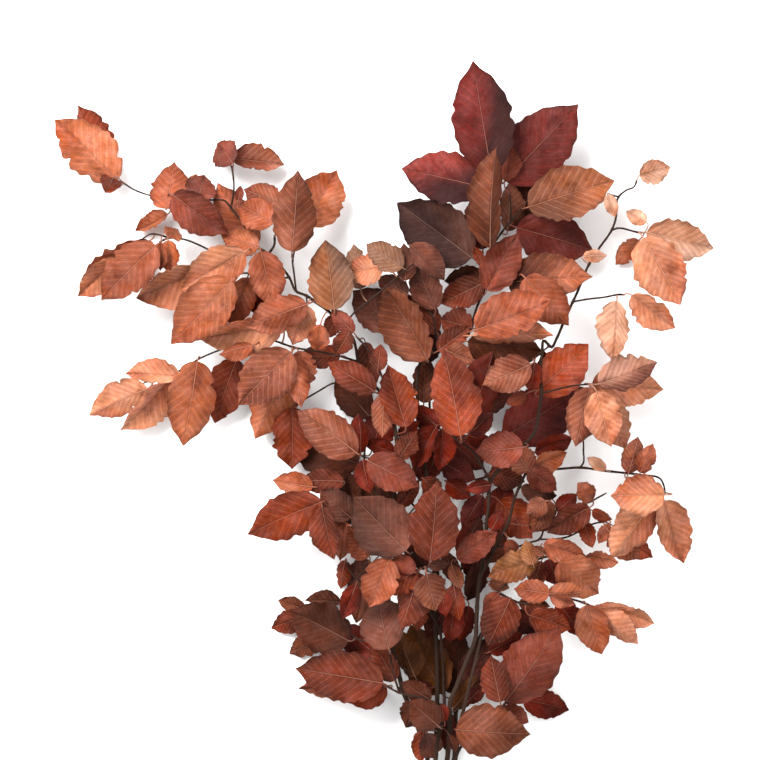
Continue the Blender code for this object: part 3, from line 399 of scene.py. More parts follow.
LOW_LEFT_LEAVES = (
    (-14, 114, -17, 84, 12, -1, T.RUST),
    (-12, 112, -5, 88, 22, -1, T.MAUVE),
    (-47, 152, -83, 138, 13, -1, T.RUST),
    (-50, 153, -126, 149, 16, -1, T.ROSE),
    (-40, 158, -60, 194, 20, -1, T.REDBROWN),
    (4, 124, 2, 139, 12, 1, T.DEEP),
    (-2, 122, -27, 142, 28, 1, T.UMBER),
    (8, 112, 14, 97, 10, 1, T.UMBER),
    (-50, 157, -128, 169, 44, 1, T.REDBROWN),
    (-45, 189, -54, 232, 41, 1, T.MAUVE),
    (-68, 354, -62, 325, 20, 1, T.DEEP),
    (12, 226, 8, 192, 16, 1, T.DEEP),
    (12, 244, 17, 213, 14, 1, T.RUST),
    (10, 262, 19, 240, 13, 1, T.BROWN),
    (2, 237, 5, 217, 16, 1, T.DEEP),
    (-19, 234, -20, 203, 15, 1, T.RUST),
    (-19, 256, -35, 206, 18, 1, T.REDBROWN),
    (-20, 257, -52, 240, 26, 1, T.RUST),
    (-22, 256, -42, 272, 15, 1, T.REDROSE),
    (-10, 261, 8, 263, 9, 1, T.MAUVE),
    (-15, 338, 0, 322, 18, 1, T.REDBROWN),
    (-44, 268, -62, 225, 32, 2, T.COPPER),
    (-12, 255, -4, 222, 29, 2, T.ROSE),
    (-64, 354, -18, 331, 32, 2, T.REDROSE),
    (-30, 275, -76, 322, 50, 2, T.MAUVE),
    (-9, 266, -3, 335, 44, 2, T.REDBROWN),
    (15, 267, 51, 291, 24, 2, T.REDROSE),
    (-20, 142, -30, 116, 22, -1, T.UMBER),
    (-8, 142, -34, 158, 18, -1, T.UMBER),
)
# One entry is one stem or twig: its x, y, height points (mm), radius at the start and at the end.
# The first entry of a branch is its stem; the others start on the nearest earlier one.
BACK_TWIGS = (
    (((5.4, -4, 2.1), (5.4, 40, 2.1), (14, 92, 4), (15, 150, 8), (4, 220, 11), (-10, 300, 14),
      (-8, 380, 17), (-10, 440, 18), (-8, 462, 18)), 2.5, 1.0),
    (((-12, 300, 14), (8, 330, 16), (26, 378, 16), (16, 402, 16)), 1.2, 0.9),
    (((8, 330, 16), (44, 340, 15), (60, 392, 14)), 1.1, 0.9),
    (((4, 220, 11), (-44, 262, 12), (-78, 298, 12)), 1.2, 0.9),
    (((-12, 300, 14), (-46, 340, 14), (-66, 352, 14), (-64, 388, 13)), 1.2, 0.9),
    (((15, 150, 8), (26, 172, 10), (38, 200, 10), (60, 208, 10)), 1.2, 0.9),
    (((15, 150, 8), (-2, 158, 8), (-34, 172, 8), (-56, 182, 8)), 1.2, 0.9),
    (((4, 220, 11), (14, 240, 14), (22, 264, 15), (38, 300, 15)), 1.1, 0.9),
)
CENTRE_TWIGS = (
    (((-5.4, -4, 2.1), (-5.4, 40, 2.1), (-3, 94, 6), (-2, 150, 14), (-4, 220, 22), (-6, 300, 30),
      (-16, 370, 36), (-19, 398, 38), (-20, 420, 39), (-17, 440, 40), (-8, 450, 41), (10, 455, 42),
      (20, 463, 42), (27, 468, 42), (30, 480, 42), (34, 492, 42), (39, 503, 42), (41, 512, 42),
      (42, 530, 42), (45, 540, 42), (50, 548, 41), (57, 558, 40), (63, 565, 39), (74, 577, 36)),
     2.5, 0.9),
    (((45, 540, 42), (45, 565, 34), (44, 594, 24), (45, 604, 20)), 1.1, 0.9),
    (((63, 565, 39), (62, 590, 28)), 1.0, 0.9),
    (((42, 530, 42), (29, 533, 40)), 1.0, 0.9),
    (((-12, 448, 41), (-24, 462, 38), (-36, 470, 34)), 1.0, 0.9),
    (((-2, 452, 41), (-6, 480, 40), (-24, 500, 36)), 1.0, 0.9),
    (((-16, 370, 36), (-3, 383, 36)), 1.0, 0.9),
    (((41, 510, 42), (56, 511, 43), (72, 514, 43)), 1.0, 0.9),
)
LEFT_TWIGS = (
    (((-10.6, -4, 2.1), (-10.6, 40, 2.1), (-11, 94, 5), (-25, 132, 10), (-33, 150, 13),
      (-38, 174, 16), (-42, 187, 18), (-45, 230, 24), (-43, 290, 32), (-37, 355, 40),
      (-38, 370, 41), (-40, 385, 42), (-43, 397, 42), (-46, 405, 42), (-52, 413, 42),
      (-58, 420, 42), (-65, 430, 42), (-72, 441, 42), (-74, 452, 42), (-77, 462, 42),
      (-90, 475, 42), (-97, 484, 41), (-118, 499, 40), (-127, 503, 39), (-133, 515, 38),
      (-145, 530, 37), (-160, 541, 36), (-172, 560, 34), (-185, 577, 32), (-190, 583, 31),
      (-205, 584, 26), (-240, 584.5, 20), (-262, 590, 14), (-272, 594, 11), (-283, 601, 8)),
     2.5, 0.8),
    (((-43, 397, 42), (-48, 418, 42), (-55, 437, 42), (-62, 450, 41), (-74, 463, 41)), 1.1, 0.9),
    (((-145, 530, 37), (-158, 540, 36), (-172, 541, 35), (-185, 537, 34), (-200, 538, 33),
      (-213, 544, 28), (-226, 549, 24), (-240, 550.5, 20), (-249, 547, 17)), 1.1, 0.9),
    (((-240, 550.5, 20), (-248, 553, 17), (-256, 554, 14), (-264, 549, 12), (-272, 545, 10)),
     0.9, 0.7),
    (((-133, 515, 38), (-153, 514, 36), (-172, 519, 34), (-184, 516, 33), (-200, 508, 32)),
     1.0, 0.8),
    (((-118, 499, 40), (-117, 491, 40)), 1.0, 0.9),
    (((-127, 503, 39), (-130, 531, 38), (-124, 556, 36)), 1.0, 0.9),
    (((-172, 560, 34), (-150, 566, 33), (-140, 577, 32)), 1.0, 0.9),
    (((-184, 577, 32), (-182, 594, 30), (-184, 614, 27)), 1.0, 0.9),
    (((-152, 535, 37), (-146, 544, 38), (-146, 552, 39)), 1.3, 1.2),
    (((-72, 440, 42), (-80, 443, 41), (-90, 446, 40), (-110, 450, 38), (-128, 453, 37),
      (-150, 460, 34), (-165, 461, 31), (-178, 457, 28), (-195, 451, 24), (-212, 444, 20),
      (-230, 433, 16), (-238, 428, 14), (-250, 425, 11), (-258, 423, 9), (-268, 420, 7)),
     1.2, 0.7),
    (((-84, 470, 41), (-78, 481, 40), (-60, 496, 39), (-48, 506, 38), (-38, 515, 37),
      (-28, 523, 36), (-18, 530, 35)), 1.1, 0.9),
    (((-37, 355, 40), (-65, 356, 38), (-73, 360, 37)), 1.0, 0.9),
    (((-50, 413, 42), (-92, 422, 36), (-108, 414, 30), (-128, 402, 26)), 1.0, 0.9),
    (((-43, 295, 33), (-62, 304, 32), (-80, 312, 30), (-104, 314, 28)), 1.1, 0.9),
    (((-80, 312, 30), (-88, 328, 28), (-108, 331, 26)), 1.0, 0.9),
    (((-45, 225, 24), (-60, 246, 24), (-64, 264, 24)), 1.0, 0.9),
    (((-60, 246, 24), (-72, 247, 24), (-83, 262, 22)), 1.0, 0.9),
    (((-42, 187, 18), (-60, 192, 18), (-78, 197, 18), (-100, 214, 14), (-116, 218, 12)), 1.1, 0.9),
)
RIGHT_TWIGS = (
    (((0, -4, 2.2517), (0, 40, 2.2517), (4, 62, 3.6), (7, 90, 7), (8.5, 115, 10), (9, 140, 14),
      (20, 168, 19), (31, 194, 25), (34, 239, 34), (40, 281, 42), (43, 315, 48), (44.5, 335, 50),
      (60, 356, 52), (77, 371, 53), (83, 380, 54), (86, 398, 54), (88, 413, 54), (87, 435, 53),
      (90, 459, 52), (97, 453, 52), (101, 460, 51), (110, 480, 50), (121, 503, 48),
      (130, 524, 42), (140, 540, 36), (152, 557, 30), (156, 568, 26), (157, 582, 20),
      (159, 587, 18), (166, 593, 14), (173, 596, 11), (176, 603, 8)), 2.6, 0.9),
    (((44.5, 335, 50), (36, 350, 52), (28.5, 362, 53), (12.6, 374, 54), (8, 380, 54)), 1.4, 1.0),
    (((152, 557, 30), (158, 558.5, 28), (176, 555, 20), (183, 555, 16)), 1.0, 0.9),
    (((116, 493, 46), (128, 495, 42), (144, 497, 34), (158, 499.5, 26), (162, 499, 24)), 1.0, 0.9),
    (((159, 587, 18), (150, 588, 17)), 1.0, 0.9),
    (((36, 252, 36), (42, 262, 38), (50, 278, 41), (60, 298, 44), (66, 320, 46), (70, 330, 47),
      (79, 345, 48), (90, 345, 46), (124, 347, 38), (146, 344, 32), (164, 342, 26),
      (180, 340, 20), (196, 337, 14), (200, 330, 11), (201, 322, 9)), 1.7, 0.9),
    (((124, 347, 38), (127, 352, 38), (127, 361, 37), (127, 370, 36), (123, 386, 36)), 1.0, 0.9),
    (((88, 413, 54), (113, 419, 46), (131, 421, 38)), 1.0, 0.9),
    (((50, 278, 41), (66, 277, 41), (80, 281, 40), (88, 284, 40), (93, 295, 40), (104, 310, 39),
      (118, 314, 36), (132, 316, 30), (140, 320, 26), (148, 324, 22)), 1.1, 0.9),
    (((88, 284, 40), (100, 284, 37), (113, 286, 33), (128, 293, 28), (136, 297, 25),
      (148, 299, 22)), 1.0, 0.9),
    (((94, 453, 52), (78, 441, 50)), 1.0, 0.9),
)
LOW_RIGHT_TWIGS = (
    (((2.7, -4, 6.66), (2.7, 40, 6.66), (8, 62, 9.5), (14, 90, 13), (18, 122, 19), (27, 160, 27),
      (36, 195, 35), (44, 222, 41), (50, 236, 44), (66, 229, 46), (78, 227, 46), (88, 233, 46),
      (100, 235, 42), (115, 231, 34), (128, 227, 27), (136, 223, 22), (143, 219, 18),
      (156, 220, 12)), 2.2, 0.9),
    (((14, 90, 13), (20, 103, 15), (36, 117, 18), (54, 133, 20), (60, 139, 20)), 1.5, 1.0),
    (((60, 139, 20), (72, 138, 19)), 1.0, 0.9),
    (((50, 236, 44), (62, 248, 45), (68, 254, 45), (80, 262, 45), (92, 268, 44), (104, 268, 42),
      (126, 269, 40)), 1.1, 0.9),
)
LOW_LEFT_TWIGS = (
    (((-8, -4, 6.0), (-8, 40, 6.0), (-6, 69, 10.5), (-2, 104, 16), (4, 136, 22), (3, 170, 30),
      (0, 204, 40), (-9, 221, 45), (-12, 240, 49), (-12, 261, 52)), 2.3, 1.1),
    (((0, 204, 40), (8, 230, 46), (12, 250, 50), (13, 268, 53)), 1.2, 0.9),
    (((-12, 261, 52), (-24, 272, 54), (-40, 292, 56), (-56, 324, 56), (-66, 354, 54)), 1.2, 0.9),
    (((-12, 261, 52), (-22, 257, 52), (-44, 267, 50)), 1.0, 0.9),
    (((4, 136, 22), (-18, 145, 22), (-36, 149, 24), (-48, 155, 24)), 1.3, 1.0),
    (((-36, 149, 24), (-41, 168, 26), (-45, 187, 28)), 1.0, 0.9),
    (((-12, 240, 49), (-18, 236, 48)), 1.0, 0.9),
    (((-40, 292, 56), (-16, 312, 58), (-14, 336, 58)), 1.0, 0.9),
)


@dataclass(frozen=True)
class LeafFinish:
    """Surface of a family of blades."""

    name: str
    vein: tuple[float, float, float]
    vein_share: float
    # Strength of the mottle and of the painted shade and light of the wrinkles.
    mottle_and_wrinkle_shade: float
    fleck: float
    roughness: float
    relief: float


FINISHES = {
    Family.PALE: LeafFinish("pale_blade", (0.43, 0.235, 0.155), 0.35, 0.44, 0.55, 0.55, 0.60),
    Family.RUST: LeafFinish("rust_blade", (0.35, 0.150, 0.090), 0.31, 0.50, 0.60, 0.52, 0.65),
    Family.WINE: LeafFinish("wine_blade", (0.22, 0.085, 0.060), 0.19, 0.54, 0.50, 0.48, 0.65),
    Family.DARK: LeafFinish("dark_blade", (0.17, 0.095, 0.070), 0.19, 0.56, 0.50, 0.48, 0.70),
}


@dataclass(frozen=True)
class Relief:
    """Relief that all thin blades share, in mm where it is a length.

    tip is where the tip begins to narrow, widening the share by which a blade passes its solid.
    """

    groove: float = 0.35
    groove_width: float = 0.9
    broad_wave: float = 0.8
    short_wave: float = 0.45
    widening: float = 0.03
    tip: float = 0.82
    lowest: float = 0.2


RELIEF = Relief()


@dataclass(frozen=True)
class StalkForm:
    """Shape and colours that all stalks share, lengths and radii in mm.

    A stalk has free_rings from the twig to the blade and rib_rings as the midrib under the blade,
    from the first to the second place of rib_span. Each pair of radii is for its first and last
    ring, and root_radius is for the ring on the twig.
    """

    root_radius: float = 0.95
    free_radii: tuple[float, float] = (0.72, 0.62)
    free_rings: int = 8
    rib_radii: tuple[float, float] = (0.46, 0.12)
    rib_rings: int = 11
    rib_span: tuple[float, float] = (0.05, 0.95)
    rise: float = 0.4
    own_colour: tuple[float, float, float] = (0.16, 0.07, 0.045)
    rib_colour: tuple[float, float, float] = (0.432, 0.225, 0.144)


@dataclass(frozen=True)
class WoodForm:
    """Shape that all stems and twigs share, lengths and radii in mm.

    slim_shares are the shares of their radius that wood of slim_radii keeps, foot and tip those of
    a twig's first and last ring. Bark is young up to young_radius and old ageing above it.
    """

    sides: int = 10
    ring_spacing: float = 2.6
    slim_radii: tuple[float, float] = (1.0, 3.0)
    slim_shares: tuple[float, float] = (0.86, 1.0)
    foot: float = 1.25
    tip: float = 0.8
    node_swell: float = 0.28
    node_reach: float = 2.2
    young_radius: float = 0.8
    ageing: float = 1.6


STALK = StalkForm()
WOOD = WoodForm()


@dataclass(frozen=True)
class BarkFinish:
    """Surface of the stems and twigs."""

    name: str = "beech_bark"
    young: tuple[float, float, float] = (0.026, 0.012, 0.008)
    old: tuple[float, float, float] = (0.030, 0.016, 0.010)
    pore: tuple[float, float, float] = (0.075, 0.052, 0.040)
    wood: tuple[float, float, float] = (0.40, 0.27, 0.16)
    roughness: float = 0.70


def linear(code: str) -> tuple[float, float, float]:
    """Linear colour of a six-digit screen colour."""
    shares = [int(code[i:i + 2], 16) / 255.0 for i in (0, 2, 4)]
    return tuple(c / 12.92 if c <= 0.04045 else ((c + 0.055) / 1.055) ** 2.4 for c in shares)


def smooth(x: Points) -> Points:
    """Smooth step of x between 0 and 1."""
    x = np.clip(x, 0.0, 1.0)
    return x * x * (3.0 - 2.0 * x)


class Pile:
    """Running height map of everything laid so far."""

    def __init__(self) -> None:
        """Start with a bare floor."""
        self.nx = int((X_HIGH - X_LOW) / CELL) + 3
        self.ny = int((Y_HIGH - Y_LOW) / CELL) + 3
        self.top = np.full((self.nx, self.ny), FLOOR - GAP)

    def cells(self, x: Points, y: Points) -> tuple[Points, Points]:
        """Cell numbers of map coordinates in mm."""
        ix = np.clip(((x - X_LOW) / CELL).astype(int), 1, self.nx - 2)
        iy = np.clip(((y - Y_LOW) / CELL).astype(int), 1, self.ny - 2)
        return ix, iy

    def lift(self, points: Points) -> float:
        """Height by which the points must rise to clear the pile."""
        ix, iy = self.cells(points[:, 0], points[:, 1])
        return float(np.max(self.top[ix, iy] + GAP - points[:, 2]))

    def add(self, points: Points) -> None:
        """Raise the map to the points and their neighbour cells."""
        ix, iy = self.cells(points[:, 0], points[:, 1])
        for dx in (-1, 0, 1):
            for dy in (-1, 0, 1):
                np.maximum.at(self.top, (ix + dx, iy + dy), points[:, 2])


class Leaf:
    """One blade: its place, its slopes and its surface."""

    def __init__(self, row: tuple, seed: int) -> None:
        """Draw the slopes and the relief of the leaf.

        Args:
            row: base x, y, tip x, y, visible width, layer and tone.
            seed: number that fixes all draws of this leaf.
        """
        x0, y0, x1, y1, width, self.layer, self.tone = row
        draw = random.Random(seed)
        reach = math.hypot(x1 - x0, y1 - y0)
        self.ux = (x1 - x0) / reach
        self.uy = (y1 - y0) / reach
        self.base = [float(x0), float(y0), 0.0]
        ratio = reach / width
        self.pitch = math.radians(draw.uniform(4.0, 11.0))
        self.roll = math.radians(draw.uniform(3.0, 13.0))
        fold = draw.uniform(0.08, 0.20)
        if ratio < STEEP:
            self.pitch = math.acos(max(ratio / NATURAL, 0.55))
        self.width = float(width)
        if ratio > TURNED:
            self.width = min(reach / 1.75, 1.9 * width)
            angle = math.acos(width / self.width)
            fold = math.tan(0.62 * angle)
            self.roll = 0.5 * angle
        self.length = reach / math.cos(self.pitch)
        self.fold = fold * draw.choice((1.0, 1.0, -1.0))
        self.bow = draw.uniform(0.02, 0.07) * draw.choice((1.0, -1.0))
        self.curl = draw.uniform(-0.13, 0.13)
        self.wave = draw.uniform(0.02, 0.045) * min(self.width, 36.0)
        self.phase = draw.uniform(0.0, 6.28)
        self.root = (0.0, 0.0, 0.0)
        self.draw_relief(random.Random(seed + 50000))

    def draw_relief(self, draw: random.Random) -> None:
        """Draw what only the thin blade has: vein pairs, pleats, teeth and tints."""
        self.pairs = 6 + round(min(self.length, 80.0) / 22.0) + draw.choice((0, 0, 1))
        self.pleat = draw.uniform(0.60, 0.95) * min(self.length / 60.0, 1.15)
        smoothness = 0.40 if self.tone.value.family in (Family.WINE, Family.DARK) else 1.0
        self.tooth = draw.uniform(0.006, 0.024) * smoothness
        self.ragged = draw.uniform(0.014, 0.042) * smoothness
        self.drip = draw.uniform(0.30, 0.55)
        self.beat = 59.0 if self.length > LARGE else 39.0 if self.length > MIDDLE else 23.0
        self.rim = draw.uniform(0.6, 1.6) * min(self.width / 34.0, 1.0)
        self.mark = 40 * draw.randrange(1, 60)
        self.turns = [draw.uniform(0.0, 6.28) for _ in range(6)]
        shade = self.tone.value
        self.along = draw.uniform(-0.9, 0.9) if shade.along is None else shade.along
        self.across = draw.uniform(-0.6, 0.6) if shade.across is None else shade.across
        self.light = draw.uniform(0.86, 1.12)
        self.tears = [(draw.uniform(0.15, 0.92), draw.choice((-1.0, 1.0)),
                       draw.uniform(0.07, 0.26) * smoothness, draw.uniform(0.014, 0.040))
                      for _ in range(draw.choice((2, 3, 4, 6)))]

    def half(self, t: Points) -> Points:
        """Half width of the blade at t from base 0 to tip 1."""
        rise = np.sqrt(np.clip(1.0 - ((WIDEST - t) / WIDEST) ** 2, 0.0, 1.0)) ** 1.05
        fall = np.cos(0.5 * np.pi * np.clip((t - WIDEST) / (1.0 - WIDEST), 0.0, 1.0)) ** 0.82
        return 0.5 * self.width * np.where(t < WIDEST, rise, fall)

    def plain(self, t: Points, s: Points) -> tuple[Points, Points]:
        """Distance across and height of the plain blade for t along and s across it."""
        h = self.half(t)
        side = np.abs(s)
        v = s * h * (1.0 + 0.04 * side * np.sin(41.0 * t + self.phase))
        n = 4.0 * t * (1.0 - t) * self.bow * self.length
        n = n + (self.fold * side + self.curl * s * s) * h
        n = n + self.wave * side ** 1.5 * np.sin(17.0 * t + self.phase + s) * np.sin(np.pi * t)
        return v, n

    def place(self, t: Points, v: Points, n: Points) -> Points:
        """Points in the frame, in mm, of places on the blade."""
        u = self.length * t
        cr, sr = math.cos(self.roll), math.sin(self.roll)
        cp, sp = math.cos(self.pitch), math.sin(self.pitch)
        across = v * cr - n * sr
        normal = v * sr + n * cr
        along = u * cp - normal * sp
        z = u * sp + normal * cp
        x = self.base[0] + along * self.ux - across * self.uy
        y = self.base[1] + along * self.uy + across * self.ux
        return np.stack([x, y, z + self.base[2]], axis=-1)

    def surface(self, t: Points, s: Points) -> Points:
        """Points of the plain blade."""
        return self.place(t, *self.plain(t, s))

    def samples(self) -> Points:
        """Dense points of the plain blade for the height map."""
        rows = max(int(self.length / 1.2), 8)
        cols = max(int(self.width / 1.2), 6)
        t, s = np.meshgrid(np.linspace(0.0, 1.0, rows), np.linspace(-1.0, 1.0, cols))
        return self.surface(t.ravel(), s.ravel())

    def lay(self, pile: Pile, wanted: float) -> None:
        """Choose the slopes that lie lowest and lift the blade clear of the pile.

        Args:
            pile: heights of all that lies under the leaf.
            wanted: least height of the blade's base.
        """
        best = None
        pitch, roll = self.pitch, self.roll
        for up in (-1.0, 1.0):
            for side in (1.0, -1.0):
                self.pitch, self.roll = up * pitch, side * roll
                points = self.samples()
                rise = max(pile.lift(points), wanted)
                level = rise + float(points[:, 2].mean())
                if best is None or level < best[0] - 0.01:
                    best = (level, self.pitch, self.roll, rise)
        self.pitch, self.roll, self.base[2] = best[1], best[2], best[3]
        pile.add(self.samples())

    def veins(self, t: Points, s: Points) -> Points:
        """Count of side veins from the base, whole on a vein."""
        reach = np.abs(s) * self.half(t) / self.length
        return self.pairs * (t - (1.0 + 0.15 * t) * reach) + 0.55 + 0.25 * np.sign(s)

    def fine(self, t: Points, s: Points) -> Points:
        """Points of the pleated blade with its uneven, curled margin."""
        v, n = self.plain(t, s)
        side = np.abs(s)
        a, b, c, d, e, f = self.turns
        between = 0.5 - 0.5 * np.cos(2.0 * np.pi * self.veins(t, s))
        fade = smooth(side / 0.16) * smooth(t / 0.08) * smooth((1.0 - t) / 0.10)
        n = n + self.pleat * (between ** 0.8 - 0.5) * fade * (0.55 + 0.45 * side)
        n = n - RELIEF.groove * np.exp(-(v / RELIEF.groove_width) ** 2) * smooth((1.0 - t) / 0.2)
        ends = smooth(t / 0.1) * smooth((1.0 - t) / 0.1)
        n = n + self.rim * side ** 4 * np.sin(11.0 * t + a + s) * ends
        torn = np.sin(0.42 * self.beat * t + b + 2.0 * s) + 0.7 * np.sin(0.71 * self.beat * t + c)
        torn = torn * (0.6 + 0.4 * np.sin(9.0 * t + f)) + 0.45 * np.sin(self.beat * t + d + 3.0 * s)
        margin = self.tooth * (0.5 - between) + self.ragged * torn
        v = v * (1.0 + RELIEF.widening * side + side ** 5 * margin)
        for at, way, depth, spread in self.tears:
            notch = np.exp(-((t - at - 0.03 * (1.0 - side)) / spread) ** 2) * (s * way > 0.0)
            v = v * (1.0 - depth * notch * side ** 4)
        v = v * (1.0 - self.drip * smooth((t - RELIEF.tip) / (1.0 - RELIEF.tip)))
        broad = np.sin(7.5 * t + e) * np.sin(3.2 * s + f) * fade * min(self.width / 30.0, 1.1)
        short = np.sin(16.0 * t + 2.0 * s + a) * np.cos(6.0 * s - 5.0 * t + b) * fade
        points = self.place(t, v, n + RELIEF.broad_wave * broad + RELIEF.short_wave * short)
        points[..., 2] = np.maximum(points[..., 2], RELIEF.lowest)
        return points

    def tint(self, t: Points, s: Points) -> Points:
        """Linear colours of the blade from its tone, with a darker margin that is partly browned
        edge and partly painted shade.
        """
        shade = self.tone.value
        q = self.veins(t, s)
        a, b, c, d, e, f = self.turns
        cells = np.sin(12.9898 * np.floor(q) + 7.3 * np.sign(s) + 10.0 * a)
        mix = 0.42 + self.along * (t - 0.5) * 1.5 + self.across * s * 0.8
        mix = mix + 0.16 * cells + 0.18 * np.sin(6.0 * t + b) * np.sin(3.0 * s + c)
        mix = smooth(mix)[:, None]
        main, second = np.array(linear(shade.main)), np.array(linear(shade.second))
        colour = (main * (1.0 - mix) + second * mix) * self.light * DIM
        # Darker towards the margin: browned edges, and painted shade along the curled rim.
        edge = smooth((np.abs(s) - 0.72) / 0.28) * (0.5 + 0.5 * np.sin(9.0 * t + d + 2.0 * s))
        patch = smooth(0.5 + np.sin(4.0 * t + e) * np.cos(2.6 * s + f))
        return colour * (1.0 - 0.46 * edge[:, None]) * (1.08 - 0.26 * patch[:, None])


class Twig:
    """Stem or twig as a line of points with a radius."""

    def __init__(self, entry: tuple) -> None:
        """Divide the written line.

        Args:
            entry: points, radius at the start and radius at the end.
        """
        points, first, last = entry
        self.points = [tuple(float(c) for c in points[0])]
        for a, b in zip(points, points[1:]):
            pieces = max(int(math.ceil(math.hypot(b[0] - a[0], b[1] - a[1]) / STEP)), 1)
            for k in range(1, pieces + 1):
                f = k / pieces
                self.points.append(tuple(a[i] + f * (b[i] - a[i]) for i in range(3)))
        count = len(self.points) - 1
        self.radii = [first + (last - first) * i / count for i in range(count + 1)]
        for i, point in enumerate(self.points):
            if point[1] <= ROUND:
                self.radii[i] = first
        self.full: list[Place] = []
        self.full_radii: list[float] = []

    def line(self, i: int, step: float = 1.2) -> Points:
        """Dense points of the straight piece that starts at point i."""
        a = np.array(self.points[i])
        b = np.array(self.points[i + 1])
        n = max(int(np.linalg.norm(b - a) / step), 2)
        points = a + np.linspace(0.0, 1.0, n)[:, None] * (b - a)
        return points[points[:, 1] > GATHER]

    def simplify(self) -> None:
        """Drop the points that lie within a small distance of a straight piece."""
        self.full, self.full_radii = list(self.points), list(self.radii)
        keep = {0, len(self.points) - 1}
        spans = [(0, len(self.points) - 1)]
        while spans:
            a, b = spans.pop()
            if b - a < 2:
                continue
            start = np.array(self.points[a])
            way = np.array(self.points[b]) - start
            inner = np.array(self.points[a + 1:b]) - start
            f = np.clip(inner @ way / (way @ way), 0.0, 1.0)
            away = np.linalg.norm(inner - f[:, None] * way, axis=1)
            k = int(np.argmax(away))
            if away[k] > STRAIGHT:
                keep.add(a + 1 + k)
                spans += [(a, a + 1 + k), (a + 1 + k, b)]
        order = sorted(keep)
        self.points = [self.points[i] for i in order]
        self.radii = [self.radii[i] for i in order]

    def lay(self, pile: Pile, start: Optional[Place]) -> None:
        """Lift the points clear of the pile with an even slope and add them to it.

        Args:
            pile: heights of all that lies under the twig.
            start: place on the carrying twig, or None for the stem.
        """
        z = [p[2] for p in self.points]
        fixed = [p[1] <= GATHER for p in self.points]
        if start is not None:
            self.points[0] = start
            z[0] = start[2]
            fixed[0] = True
        for i in range(len(z) - 1):
            line = self.line(i)
            if len(line) == 0:
                continue
            line[:, 2] = -self.radii[i]
            need = pile.lift(line)
            for k in (i, i + 1):
                if not fixed[k]:
                    z[k] = max(z[k], need)
        for _ in range(len(z)):
            for i in range(len(z) - 1):
                a, b = self.points[i], self.points[i + 1]
                slack = SLOPE * math.hypot(b[0] - a[0], b[1] - a[1])
                if not fixed[i]:
                    z[i] = max(z[i], z[i + 1] - slack)
                if not fixed[i + 1]:
                    z[i + 1] = max(z[i + 1], z[i] - slack)
        self.points = [(p[0], p[1], h) for p, h in zip(self.points, z)]
        self.simplify()
        for i in range(len(self.points) - 1):
            line = self.line(i)
            if len(line):
                line[:, 2] += self.radii[i]
                pile.add(line)


def nearest(twigs: Sequence[Twig], x: float, y: float) -> Place:
    """Point of the twigs nearest to x, y seen from above.

    Args:
        twigs: twigs to look at.
        x: place in mm.
        y: place in mm.

    Returns:
        The point.
    """
    best = None
    for twig in twigs:
        for i in range(len(twig.points) - 1):
            a, b = twig.points[i], twig.points[i + 1]
            dx, dy = b[0] - a[0], b[1] - a[1]
            f = ((x - a[0]) * dx + (y - a[1]) * dy) / max(dx * dx + dy * dy, 1e-9)
            f = min(max(f, 0.0), 1.0)
            if twig.points[i][1] < BARE:
                continue
            if i == len(twig.points) - 2:
                f = min(f, 1.0 - 1.7 / max(math.hypot(dx, dy), 3.4))
            px, py = a[0] + f * dx, a[1] + f * dy
            gap = math.hypot(px - x, py - y)
            if best is None or gap < best[0]:
                best = (gap, (px, py, a[2] + f * (b[2] - a[2])))
    return best[1]


def select(objects: Sequence[bpy.types.Object]) -> None:
    """Select only these objects and make the first of them active."""
    bpy.ops.object.select_all(action="DESELECT")
    for obj in objects:
        obj.select_set(True)
    bpy.context.view_layer.objects.active = objects[0]


@dataclass
class Lattice:
    """Flat grid that is modelled once and copied for blades or rods of one fineness."""

    rows: int
    cols: int
    name: str
    obj: Optional[bpy.types.Object] = None
    t: Points = field(default_factory=lambda: np.zeros(0))
    s: Points = field(default_factory=lambda: np.zeros(0))

    def build(self) -> "Lattice":
        """Add the grid primitive and read its places, t from 0 to 1 and s from -1 to 1."""
        bpy.ops.mesh.primitive_grid_add(x_subdivisions=self.rows, y_subdivisions=self.cols, size=2.0)
        self.obj = bpy.context.object
        self.obj.name = self.name
        flat = np.zeros(len(self.obj.data.vertices) * 3)
        self.obj.data.vertices.foreach_get("co", flat)
        flat = flat.reshape(-1, 3)
        self.t = 0.5 * (flat[:, 0] + 1.0)
        self.s = flat[:, 1].copy()
        return self

    def copy(self, name: str, points: Points, colour: Points,
             pattern: Optional[Points] = None) -> bpy.types.Object:
        """Copy of the grid with its own mesh, moved to the given points.

        Args:
            name: name of the copy.
            points: places in mm.
            colour: linear colours.
            pattern: vein count, vein spacing in mm and distance from the midrib in mm of a blade.

        Returns:
            The copy.
        """
        obj = self.obj.copy()
        obj.data = self.obj.data.copy()
        obj.name = name
        bpy.context.scene.collection.objects.link(obj)
        mesh = obj.data
        mesh.vertices.foreach_set("co", (points * MM).ravel())
        tint = mesh.attributes.new("tint", "FLOAT_COLOR", "POINT")
        tint.data.foreach_set("color", np.column_stack([colour, np.ones(len(colour))]).ravel())
        if pattern is not None:
            veins = mesh.attributes.new("pattern", "FLOAT_VECTOR", "POINT")
            veins.data.foreach_set("vector", pattern.ravel())
        mesh.update()
        return obj

    def remove(self) -> None:
        """Take the flat grid out of the scene."""
        bpy.data.objects.remove(self.obj, do_unlink=True)


def joined(pieces: list[bpy.types.Object], name: str) -> bpy.types.Object:
    """Join copies into one piece and close their ends and seams.

    Args:
        pieces: copies of the grids.
        name: name of the piece.

    Returns:
        The piece, with its origin at the scene's.
    """
    select(pieces)
    if len(pieces) > 1:
        bpy.ops.object.join()
    obj = bpy.context.object
    obj.name = name
    obj.data.name = name
    bpy.ops.object.mode_set(mode="EDIT")
    bpy.ops.mesh.select_all(action="SELECT")
    bpy.ops.mesh.remove_doubles(threshold=SEAM)
    bpy.ops.object.mode_set(mode="OBJECT")
    return obj


